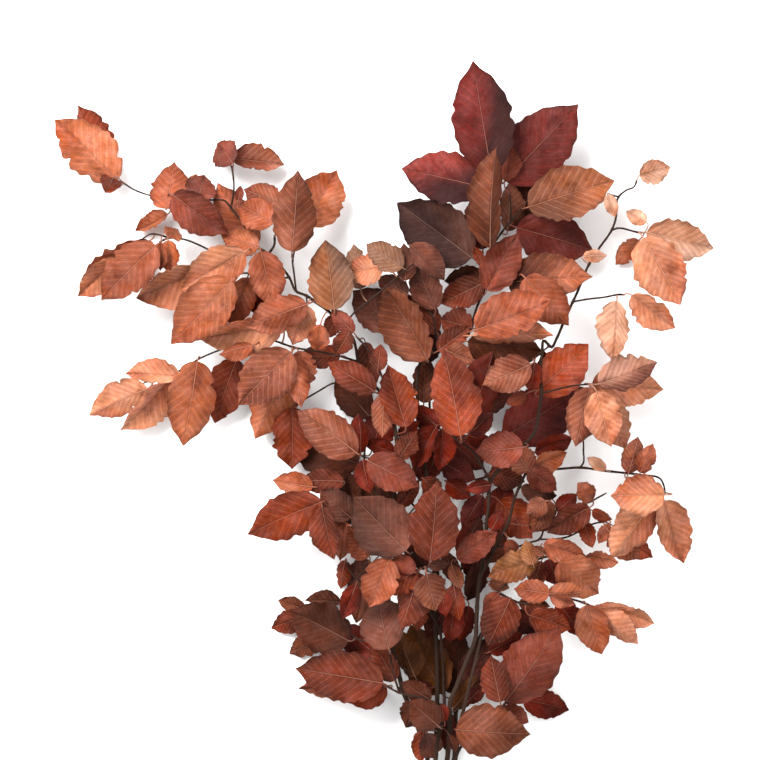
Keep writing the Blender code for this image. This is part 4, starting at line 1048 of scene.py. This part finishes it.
def thicken(obj: bpy.types.Object, amount: float) -> None:
    """Give an open sheet its thickness in mm, half to each side."""
    select([obj])
    solid = obj.modifiers.new("thickness", "SOLIDIFY")
    solid.thickness = amount * MM
    solid.offset = 0.0
    solid.use_rim = True
    bpy.ops.object.modifier_apply(modifier=solid.name)


def rounded(obj: bpy.types.Object, angle: float) -> None:
    """Shade a piece smooth up to an angle in degrees between its faces."""
    select([obj])
    bpy.ops.object.shade_smooth_by_angle(angle=math.radians(angle), keep_sharp_edges=False)


def frames(path: Points) -> tuple[Points, Points, Points]:
    """Directions along, beside and above each point of a path."""
    way = np.gradient(path, axis=0)
    way /= np.maximum(np.linalg.norm(way, axis=1), 1e-9)[:, None]
    side = np.zeros_like(way)
    last = np.cross(way[0], (0.0, 0.0, 1.0))
    if np.linalg.norm(last) < 1e-3:
        last = np.array((1.0, 0.0, 0.0))
    for i, w in enumerate(way):
        last = last - last.dot(w) * w
        last = last / max(np.linalg.norm(last), 1e-9)
        side[i] = last
    return way, side, np.cross(side, way)


def rod(lattice: Lattice, path: Points, radii: Points) -> Points:
    """Points of a closed rod round a path, its end rows drawn in to a point.

    Args:
        lattice: grid whose rows run along the rod and whose columns run round it.
        path: centre of each row of the grid in mm, the end ones twice.
        radii: radius at each row, nothing at the ends.

    Returns:
        One point for each vertex of the grid.
    """
    _, side, up = frames(path)
    side[0], up[0], side[-1], up[-1] = side[1], up[1], side[-2], up[-2]
    row = np.rint(lattice.t * lattice.rows).astype(int)
    turn = np.pi * lattice.s
    arm = np.cos(turn)[:, None] * side[row] + np.sin(turn)[:, None] * up[row]
    return path[row] + radii[row][:, None] * arm


def spline(points: Points, values: Points, count: int) -> tuple[Points, Points]:
    """Smooth line through points with evenly spaced rows.

    Args:
        points: points that the line passes through.
        values: a value at each of them.
        count: number of rows.

    Returns:
        Points and values of the rows.
    """
    ends = np.vstack([2.0 * points[0] - points[1], points, 2.0 * points[-1] - points[-2]])
    marks = np.concatenate([[0.0], np.cumsum(np.linalg.norm(np.diff(points, axis=0), axis=1))])
    along = np.linspace(0.0, marks[-1], count)
    i = np.clip(np.searchsorted(marks, along, side="right") - 1, 0, len(points) - 2)
    f = ((along - marks[i]) / np.maximum(marks[i + 1] - marks[i], 1e-9))[:, None]
    p0, p1, p2, p3 = ends[i], ends[i + 1], ends[i + 2], ends[i + 3]
    gap = np.maximum(marks[i + 1] - marks[i], 1e-9)[:, None]
    before = np.maximum(np.linalg.norm(p1 - p0, axis=1), 1e-9)[:, None]
    after = np.maximum(np.linalg.norm(p3 - p2, axis=1), 1e-9)[:, None]
    m1 = 0.5 * gap * ((p1 - p0) / before + (p2 - p1) / gap)
    m2 = 0.5 * gap * ((p2 - p1) / gap + (p3 - p2) / after)
    h00, h10 = 2 * f ** 3 - 3 * f ** 2 + 1, f ** 3 - 2 * f ** 2 + f
    h01, h11 = -2 * f ** 3 + 3 * f ** 2, f ** 3 - f ** 2
    line = h00 * p1 + h10 * m1 + h01 * p2 + h11 * m2
    return line, np.interp(along, marks, values)


@dataclass
class Workshop:
    """The flat grids that every blade, stalk and twig is copied from."""

    large: Lattice = field(default_factory=lambda: Lattice(44, 18, "blade_large"))
    middle: Lattice = field(default_factory=lambda: Lattice(30, 12, "blade_middle"))
    small: Lattice = field(default_factory=lambda: Lattice(18, 8, "blade_small"))
    stalk: Lattice = field(default_factory=lambda: Lattice(20, 6, "stalk_rod"))

    def open(self) -> None:
        """Model the grids."""
        for lattice in vars(self).values():
            lattice.build()

    def close(self) -> None:
        """Remove the grids."""
        for lattice in vars(self).values():
            lattice.remove()

    def blade_grid(self, leaf: Leaf) -> Lattice:
        """Grid that is fine enough for a leaf."""
        if leaf.length > LARGE:
            return self.large
        return self.middle if leaf.length > MIDDLE else self.small


@dataclass
class Branch:
    """One leafy branch: twigs, leaves and the stalks that join them, with lengths in mm."""

    name: str
    twig_rows: tuple
    leaf_rows: tuple
    seed: int
    blade_thickness: float = 0.32
    twigs: list[Twig] = field(default_factory=list)
    leaves: list[Leaf] = field(default_factory=list)

    def __post_init__(self) -> None:
        """Read the written rows."""
        self.twigs = [Twig(entry) for entry in self.twig_rows]
        self.leaves = [Leaf(row, self.seed + i) for i, row in enumerate(self.leaf_rows)]
        self.leaves.sort(key=lambda leaf: leaf.layer)

    def lay(self, pile: Pile) -> None:
        """Lay the leaves under the twigs, the twigs and the leaves on top in this order."""
        for leaf in self.leaves:
            if leaf.layer < 0:
                root = nearest(self.twigs, leaf.base[0], leaf.base[1])
                leaf.lay(pile, max(root[2] - UNDER, FLOOR))
        done: list[Twig] = []
        for twig in self.twigs:
            start = None
            if done:
                p = twig.points[0]
                start = tuple(a + b for a, b in zip(nearest(done, p[0], p[1]), ASIDE))
            twig.lay(pile, start)
            done.append(twig)
        self.lay_upper(pile, (1, 2))
        for leaf in self.leaves:
            x = leaf.base[0] - 2.0 * KNEE * leaf.ux
            y = leaf.base[1] - 2.0 * KNEE * leaf.uy
            leaf.root = nearest(self.twigs, x, y)

    def lay_upper(self, pile: Pile, layers: tuple[int, ...]) -> None:
        """Lay the leaves of these layers over everything laid so far."""
        for leaf in self.leaves:
            if leaf.layer in layers:
                root = nearest(self.twigs, leaf.base[0], leaf.base[1])
                leaf.lay(pile, root[2] + OVER)

    def blades(self, shop: Workshop, family: Family) -> Optional[bpy.types.Object]:
        """Blades of one family of tones as one piece of thin sheets.

        Args:
            shop: the flat grids.
            family: tones that the piece holds.

        Returns:
            The piece, or None where the branch has no such leaf.
        """
        copies = []
        for i, leaf in enumerate(self.leaves):
            if leaf.tone.value.family is not family:
                continue
            grid = shop.blade_grid(leaf)
            t = grid.t - 0.045 * np.sin(2.0 * np.pi * grid.t)
            s = grid.s
            spacing = np.full(len(t), 0.8 * leaf.length / leaf.pairs)
            across = np.abs(leaf.plain(t, s)[0])
            pattern = np.column_stack([leaf.veins(t, s) + leaf.mark, spacing, across])
            copies.append(grid.copy(f"blade_{i}", leaf.fine(t, s), leaf.tint(t, s), pattern))
        if not copies:
            return None
        obj = joined(copies, f"{self.name}_{family.value}_blades")
        thicken(obj, self.blade_thickness)
        rounded(obj, 50.0)
        return obj

    def stalks(self, shop: Workshop) -> bpy.types.Object:
        """Stalks of all leaves, each running on under its blade as the midrib."""
        copies = []
        for i, leaf in enumerate(self.leaves):
            base = leaf.fine(np.array([0.012]), np.array([0.0]))[0]
            neck = leaf.fine(np.array([0.06]), np.array([0.0]))[0]
            forward = (neck - base) / np.linalg.norm(neck - base)
            root = np.array(leaf.root)
            reach = float(np.linalg.norm(base - root))
            lean = base - min(0.5 * reach, 4.0 + 0.15 * reach) * forward
            rise = root + 0.25 * (lean - root) + np.array([0.0, 0.0, STALK.rise])
            f = np.linspace(0.0, 1.0, STALK.free_rings)[:, None]
            stalk = (1 - f) ** 3 * root + 3 * f * (1 - f) ** 2 * rise
            stalk = stalk + 3 * f * f * (1 - f) * lean + f ** 3 * base
            rib = leaf.fine(np.linspace(*STALK.rib_span, STALK.rib_rings), np.zeros(STALK.rib_rings))
            path = np.vstack([stalk[:1], stalk, rib, rib[-1:]])
            thick = np.concatenate([[0.0], np.linspace(*STALK.free_radii, STALK.free_rings),
                                    np.linspace(*STALK.rib_radii, STALK.rib_rings), [0.0]])
            thick[1] = STALK.root_radius
            thick = thick * min(0.75 + leaf.length / 180.0, 1.1)
            points = rod(shop.stalk, path, thick)
            main = np.array(linear(leaf.tone.value.main))
            share = 0.30 if leaf.tone.value.family in (Family.PALE, Family.DARK) else 0.36
            on_rib = smooth((shop.stalk.t - 0.25) / 0.25)[:, None]
            stem = 0.55 * main + 0.45 * np.array(STALK.own_colour)
            rib_colour = (1.0 - share) * main + share * np.array(STALK.rib_colour)
            colour = (1.0 - on_rib) * stem + on_rib * rib_colour
            copies.append(shop.stalk.copy(f"stalk_{i}", points, colour * DIM))
        obj = joined(copies, f"{self.name}_stalks")
        rounded(obj, 60.0)
        return obj

    def wood(self) -> bpy.types.Object:
        """Stem and twigs, swollen at their nodes and cut plain at the stem's end."""
        copies = []
        for i, twig in enumerate(self.twigs):
            full, radii = np.array(twig.full), np.array(twig.full_radii)
            length = float(np.sum(np.linalg.norm(np.diff(full, axis=0), axis=1)))
            rows = max(int(length / WOOD.ring_spacing), 6)
            path, thick = spline(full, radii, rows - 1)
            slim = np.interp(thick, WOOD.slim_radii, WOOD.slim_shares)
            thick = thick * slim * (1.0 + self.swell(path, i))
            if i > 0:
                thick[0] *= WOOD.foot
            thick[-1] *= WOOD.tip
            path = np.vstack([path[:1], path, path[-1:]])
            thick = np.concatenate([[0.0], thick, [0.0]])
            grid = Lattice(rows, WOOD.sides, f"rod_{i}").build()
            points = rod(grid, path, thick)
            points[:, 2] = np.maximum(points[:, 2], 0.0)
            radius = np.interp(grid.t, [0.0, 1.0], [radii[0], radii[-1]])
            age = np.clip((radius - WOOD.young_radius) / WOOD.ageing, 0.0, 1.0)
            cut = ((grid.t < 0.5 / rows) & (i == 0)).astype(float)
            kind = np.column_stack([age, cut, np.zeros_like(age)])
            copies.append(grid.copy(f"wood_{i}", points, kind))
            grid.remove()
        obj = joined(copies, f"{self.name}_wood")
        rounded(obj, 50.0)
        return obj

    def swell(self, path: Points, index: int) -> Points:
        """Share by which a twig is thicker at the roots of its leaves and side twigs."""
        roots = [leaf.root for leaf in self.leaves]
        roots += [twig.points[0] for twig in self.twigs[index + 1:]]
        extra = np.zeros(len(path))
        for root in roots:
            gap = np.linalg.norm(path - np.array(root), axis=1)
            extra = np.maximum(extra, WOOD.node_swell * np.exp(-(gap / WOOD.node_reach) ** 2))
        bumps = 0.05 * np.sin(np.arange(len(path)) * 1.7 + self.seed + index)
        return extra + bumps


class Graph:
    """Short ways to add nodes to a node tree; each gives the socket that the node puts out."""

    def __init__(self, tree: bpy.types.NodeTree) -> None:
        """Take the tree that the nodes go into."""
        self.tree = tree

    def node(self, kind: str, **settings: object) -> bpy.types.Node:
        """Add a node, set its properties, and set or link its inputs by number or name."""
        made = self.tree.nodes.new("ShaderNode" + kind)
        inputs = settings.pop("inputs", {})
        for key, value in settings.items():
            setattr(made, key, value)
        for key, value in inputs.items():
            if isinstance(value, bpy.types.NodeSocket):
                self.tree.links.new(value, made.inputs[key])
            else:
                made.inputs[key].default_value = value
        return made

    def maths(self, operation: str, *values: Value) -> Socket:
        """Result of a Math node."""
        return self.node("Math", operation=operation, inputs=dict(enumerate(values))).outputs[0]

    def times(self, a: Value, b: Value) -> Socket:
        """Product of two values."""
        return self.maths("MULTIPLY", a, b)

    def add(self, value: Value, weight: Value, rest: Value) -> Socket:
        """The rest plus the weighted value."""
        return self.maths("MULTIPLY_ADD", value, weight, rest)

    def centred(self, value: Value) -> Socket:
        """A value from 0 to 1 brought to lie round nothing."""
        return self.maths("SUBTRACT", value, 0.5)

    def ramp(self, value: Value, low: float, high: float, start: float = 0.0,
             end: float = 1.0) -> Socket:
        """Value mapped smoothly from low..high to start..end."""
        return self.node("MapRange", interpolation_type="SMOOTHSTEP",
                         inputs={0: value, 1: low, 2: high, 3: start, 4: end}).outputs[0]

    def blend(self, share: Value, a: Value, b: Value, kind: str = "MIX") -> Socket:
        """Colour a with a share of colour b."""
        a, b = ((*c, 1.0) if isinstance(c, tuple) else c for c in (a, b))
        return self.node("Mix", data_type="RGBA", blend_type=kind,
                         inputs={0: share, 6: a, 7: b}).outputs[2]

    def noise(self, place: Socket, scale: float, detail: float) -> Socket:
        """Noise with a scale in turns for each unit of the place."""
        return self.node("TexNoise", inputs={"Vector": place, "Scale": scale, "Detail": detail,
                                             "Roughness": 0.6}).outputs[0]

    def cells(self, place: Socket, scale: float, feature: str = "F1") -> Socket:
        """Distance to the middle or the edge of irregular cells."""
        return self.node("TexVoronoi", feature=feature,
                         inputs={"Vector": place, "Scale": scale}).outputs[0]

    def attribute(self, name: str, output: str) -> Socket:
        """Attribute of the mesh as a Color or a Vector."""
        return self.node("Attribute", attribute_name=name).outputs[output]

    def place(self) -> Socket:
        """Place on the object in metres."""
        return self.node("TexCoord").outputs["Object"]


class Materials:
    """Finishes of the blades, stalks, wood and floor, made of shader nodes."""

    def __init__(self) -> None:
        """Make the shared group."""
        self.blade_group = self.make_blade_group()

    @staticmethod
    def wrinkles(g: Graph, data: Sequence[Socket], count: float, stretch: float,
                 detail: float) -> Socket:
        """Noise drawn out along the side veins.

        Args:
            g: tree to add to.
            data: vein count, vein spacing and distance from the midrib.
            count: wrinkles for each vein.
            stretch: turns for each mm along a vein.
            detail: octaves of the noise.

        Returns:
            The noise, from 0 to 1.
        """
        run = g.node("CombineXYZ", inputs={0: g.times(data[0], count),
                                           1: g.times(data[2], stretch), 2: data[1]}).outputs[0]
        return g.noise(run, 1.0, detail)

    def make_blade_group(self) -> bpy.types.NodeTree:
        """Group that turns a blade's tint and vein pattern into colour with painted shade and light,
        gloss and relief.

        Returns:
            The node group, with inputs Vein, Vein Share, Mottle, Fleck and Roughness and outputs
            Color, Roughness and Height.
        """
        tree = bpy.data.node_groups.new("beech_blade", "ShaderNodeTree")
        for label, way, kind in (
                ("Vein", "INPUT", "Color"), ("Vein Share", "INPUT", "Float"),
                ("Mottle And Wrinkle Shade", "INPUT", "Float"), ("Fleck", "INPUT", "Float"),
                ("Roughness", "INPUT", "Float"), ("Color", "OUTPUT", "Color"),
                ("Roughness", "OUTPUT", "Float"), ("Height", "OUTPUT", "Float")):
            tree.interface.new_socket(label, in_out=way, socket_type="NodeSocket" + kind)
        g = Graph(tree)
        given = tree.nodes.new("NodeGroupInput").outputs
        tint = g.attribute("tint", "Color")
        data = g.node("SeparateXYZ", inputs={0: g.attribute("pattern", "Vector")}).outputs
        place = g.place()
        broad, patch = g.noise(place, 85.0, 4.0), g.noise(place, 330.0, 3.0)

        # Lines of the side veins and the midrib, and wrinkles between the veins.
        away = g.times(g.maths("PINGPONG", data[0], 0.5), data[1])
        side = g.times(g.ramp(away, 0.33, 0.06), g.ramp(data[2], 0.0, 1.5, 0.2, 1.0))
        side = g.times(side, g.ramp(patch, 0.35, 0.65, 0.30, 0.95))
        lines = g.maths("MAXIMUM", side, g.times(g.ramp(data[2], 0.5, 0.15), 0.70))
        streak = self.wrinkles(g, data, 6.0, 0.07, 3.0)
        hatch = self.wrinkles(g, data, 21.0, 0.16, 2.0)

        # Tint, with its brightness from the noises and with painted shade and light from the
        # wrinkles along the side veins.
        level = g.add(g.centred(broad), 1.5, g.times(g.centred(patch), 0.9))
        # The streak and hatch wrinkles lighten and darken the colour: painted shade and light of the
        # fine folds, which also go into the relief.
        level = g.add(g.centred(hatch), 2.3, g.add(g.centred(streak), 1.4, level))
        colour = g.node("HueSaturation", inputs={
            "Hue": g.add(patch, 0.016, 0.492),
            "Saturation": g.ramp(broad, 0.3, 0.7, 1.06, 0.94),
            "Value": g.add(level, given["Mottle And Wrinkle Shade"], 1.0), "Color": tint}).outputs[0]

        # Scorched and bleached patches, veins, painted shade along both flanks of the midrib,
        # painted shade in the fields between the veins, and flecks.
        cloud = g.noise(place, 48.0, 5.0)
        scorched = g.blend(1.0, colour, (0.50, 0.40, 0.38), "MULTIPLY")
        bleached = g.blend(1.0, colour, (1.28, 1.30, 1.34), "MULTIPLY")
        colour = g.blend(g.ramp(cloud, 0.52, 0.70, 0.0, 0.75), colour, scorched)
        colour = g.blend(g.ramp(cloud, 0.46, 0.30, 0.0, 0.60), colour, bleached)
        colour = g.blend(g.times(lines, given["Vein Share"]), colour, given["Vein"])
        # Painted shade: darker strips on both flanks of the midrib, as if it stood raised above the
        # blade.
        beside = g.times(g.ramp(data[2], 1.5, 0.6, 0.0, 0.50), g.ramp(data[2], 0.3, 0.5))
        colour = g.blend(beside, colour, (0.42, 0.33, 0.30), "MULTIPLY")
        # Painted shade: the fields between the side veins darken away from each vein, as if sunk.
        colour = g.blend(g.ramp(away, 0.5, 1.7, 0.0, 0.20), colour, (0.03, 0.012, 0.008))
        spots = g.times(g.ramp(g.cells(place, 260.0), 0.20, 0.08), g.ramp(broad, 0.48, 0.62))
        colour = g.blend(g.times(spots, given["Fleck"]), colour, (0.045, 0.018, 0.010))

        # Roughness and relief.
        gloss = g.add(g.centred(patch), 0.30, given["Roughness"])
        net = g.ramp(g.cells(place, 900.0, "DISTANCE_TO_EDGE"), 0.0, 0.12)
        height = g.add(net, 0.20, g.times(g.noise(place, 1500.0, 2.0), 0.25))
        for value, weight in ((lines, -0.85), (patch, 0.4), (streak, 1.2), (hatch, 1.4)):
            height = g.add(value, weight, height)
        out = tree.nodes.new("NodeGroupOutput").inputs
        for label, value in (("Color", colour), ("Roughness", gloss), ("Height", height)):
            tree.links.new(value, out[label])
        return tree

    @staticmethod
    def start(name: str) -> tuple[bpy.types.Material, Graph]:
        """New material and the graph of its tree."""
        material = bpy.data.materials.new(name)
        material.use_nodes = True
        return material, Graph(material.node_tree)

    @staticmethod
    def finish(g: Graph, colour: Socket, roughness: Value, specular: Optional[float] = None,
               relief: Optional[tuple[Socket, float, float]] = None) -> None:
        """Feed the shader of a material.

        Args:
            g: graph of the material.
            colour: its base colour.
            roughness: its roughness.
            specular: its specular level, where it isn't the usual one.
            relief: a height, its strength and its distance in mm.
        """
        shader = g.tree.nodes["Principled BSDF"].inputs
        g.tree.links.new(colour, shader["Base Color"])
        if isinstance(roughness, float):
            shader["Roughness"].default_value = roughness
        else:
            g.tree.links.new(roughness, shader["Roughness"])
        if specular is not None:
            shader["Specular IOR Level"].default_value = specular
        if relief is not None:
            height, strength, distance = relief
            bump = g.node("Bump", inputs={"Strength": strength, "Distance": distance * MM,
                                          "Height": height})
            g.tree.links.new(bump.outputs[0], shader["Normal"])

    def blade(self, finish: LeafFinish) -> bpy.types.Material:
        """Material of a family of blades."""
        material, g = self.start(finish.name)
        group = g.node("Group", node_tree=self.blade_group)
        for label, value in (("Vein", (*finish.vein, 1.0)), ("Vein Share", finish.vein_share),
                             ("Mottle And Wrinkle Shade", finish.mottle_and_wrinkle_shade), ("Fleck", finish.fleck),
                             ("Roughness", finish.roughness)):
            group.inputs[label].default_value = value
        out = group.outputs
        self.finish(g, out["Color"], out["Roughness"], 0.06, (out["Height"], finish.relief, 0.50))
        return material

    def stalk(self) -> bpy.types.Material:
        """Material of the leaf stalks and midribs."""
        material, g = self.start("leaf_stalk")
        speck = g.noise(g.place(), 700.0, 3.0)
        dark = g.blend(g.ramp(speck, 0.42, 0.66, 0.0, 0.45), g.attribute("tint", "Color"),
                       (0.06, 0.03, 0.02))
        self.finish(g, dark, 0.5, 0.20, (speck, 0.4, 0.2))
        return material

    def bark(self, finish: BarkFinish) -> bpy.types.Material:
        """Material of the stems and twigs, red-brown when young and greyer when old."""
        material, g = self.start(finish.name)
        kind = g.node("SeparateColor", inputs={0: g.attribute("tint", "Color")}).outputs
        place = g.place()
        fine = g.noise(place, 1300.0, 3.0)
        age = g.add(g.centred(g.noise(place, 160.0, 4.0)), 0.9, kind[0])
        base = g.blend(age, finish.young, finish.old)
        base = g.blend(g.ramp(fine, 0.35, 0.65, 0.0, 0.45), base, (0.018, 0.012, 0.010))
        dots = g.ramp(g.cells(place, 420.0), 0.20, 0.10, 0.0, 0.75)
        base = g.blend(kind[1], g.blend(dots, base, finish.pore), finish.wood)
        self.finish(g, base, finish.roughness, 0.05, (g.add(dots, 0.8, fine), 0.6, 0.25))
        return material

    def floor(self) -> bpy.types.Material:
        """Plain pale matt floor."""
        material, g = self.start("pale_floor")
        tone = g.ramp(g.noise(g.place(), 3.0, 2.0), 0.3, 0.7)
        self.finish(g, g.blend(tone, (0.93, 0.93, 0.93), (0.95, 0.95, 0.945)), 0.9)
        return material


@dataclass
class Studio:
    """Floor, soft light and the camera that looks down on the bunch, in metres and watts."""

    lens: float = 200.0
    sensor: float = 36.0
    middle: tuple[float, float] = (-0.0506, 0.4244)
    level: float = 0.055
    aim: tuple[float, float, float] = (-0.05, 0.38, 0.03)
    floor_radius: float = 6.0
    world: float = 1.14
    lamps: tuple = (("key_light", (-1.3, 1.8, 1.9), 1.5, 165.0),
                    ("fill_light", (1.3, -0.3, 2.2), 2.2, 24.0))

    def camera(self) -> None:
        """Camera over the middle of the photograph's frame."""
        data = bpy.data.cameras.new("camera")
        data.lens = self.lens
        data.sensor_width = self.sensor
        data.clip_end = 50.0
        eye = bpy.data.objects.new("camera", data)
        distance = IMAGE_WIDTH * MM_PER_PIXEL * MM * self.lens / self.sensor
        eye.location = (*self.middle, self.level + distance)
        bpy.context.scene.collection.objects.link(eye)
        bpy.context.scene.camera = eye

    def floor(self, material: bpy.types.Material) -> None:
        """Wide round floor."""
        bpy.ops.mesh.primitive_circle_add(vertices=96, radius=self.floor_radius, fill_type="NGON",
                                          location=(0.0, 0.35, 0.0))
        floor = bpy.context.object
        select([floor])
        floor.name = "floor"
        bpy.ops.object.transform_apply(location=True)
        floor.data.materials.append(material)

    def lamp(self, name: str, place: Place, size: float, power: float) -> None:
        """Square soft light that looks at the middle of the bunch."""
        data = bpy.data.lights.new(name, "AREA")
        data.size = size
        data.energy = power
        lamp = bpy.data.objects.new(name, data)
        lamp.location = place
        aim = Vector(self.aim) - Vector(place)
        lamp.rotation_euler = aim.to_track_quat("-Z", "Y").to_euler()
        bpy.context.scene.collection.objects.link(lamp)

    def light(self) -> None:
        """Pale surroundings and two soft lights."""
        world = bpy.data.worlds.new("studio")
        world.use_nodes = True
        back = world.node_tree.nodes["Background"]
        back.inputs[0].default_value = (1.0, 1.0, 1.0, 1.0)
        back.inputs[1].default_value = self.world
        bpy.context.scene.world = world
        for name, place, size, power in self.lamps:
            self.lamp(name, place, size, power)
        bpy.context.scene.view_settings.view_transform = "Standard"


def dress(branch: Branch, shop: Workshop, skins: dict[Family, bpy.types.Material],
          stalk: bpy.types.Material, bark: bpy.types.Material) -> None:
    """Model a branch, give its pieces their finishes and let them stand for its solid.

    Args:
        branch: the laid branch.
        shop: the flat grids.
        skins: materials of the families of blades.
        stalk: material of the stalks.
        bark: material of the wood.
    """
    pieces = [(branch.wood(), bark), (branch.stalks(shop), stalk)]
    for family in Family:
        obj = branch.blades(shop, family)
        if obj is not None:
            pieces.append((obj, skins[family]))
    for obj, material in pieces:
        obj.data.materials.clear()
        obj.data.materials.append(material)
        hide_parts(branch.name)
        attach(obj, "root")
        LOG.info("%s: %d faces", obj.name, len(obj.data.polygons))


def main() -> None:
    """Build the studio and the six branches from the back of the bunch to the front."""
    logging.basicConfig(level=logging.INFO, format="%(message)s")
    bpy.ops.object.select_all(action="DESELECT")
    materials = Materials()
    studio = Studio()
    studio.camera()
    studio.floor(materials.floor())
    studio.light()
    branches = [
        Branch("back_branch", BACK_TWIGS, BACK_LEAVES, 1000),
        Branch("centre_branch", CENTRE_TWIGS, CENTRE_LEAVES, 2000),
        Branch("left_branch", LEFT_TWIGS, LEFT_LEAVES, 3000),
        Branch("right_branch", RIGHT_TWIGS, RIGHT_LEAVES, 4000),
        Branch("low_right_branch", LOW_RIGHT_TWIGS, LOW_RIGHT_LEAVES, 5000),
        Branch("low_left_branch", LOW_LEFT_TWIGS, LOW_LEFT_LEAVES, 6000),
    ]
    pile = Pile()
    for branch in branches:
        branch.lay(pile)
        if branch.name == "right_branch":
            branches[1].lay_upper(pile, (3,))
    shop = Workshop()
    shop.open()
    skins = {family: materials.blade(finish) for family, finish in FINISHES.items()}
    stalk, bark = materials.stalk(), materials.bark(BarkFinish())
    for branch in branches:
        dress(branch, shop, skins, stalk, bark)
    shop.close()
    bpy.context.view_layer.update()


if __name__ == "__main__":
    main()
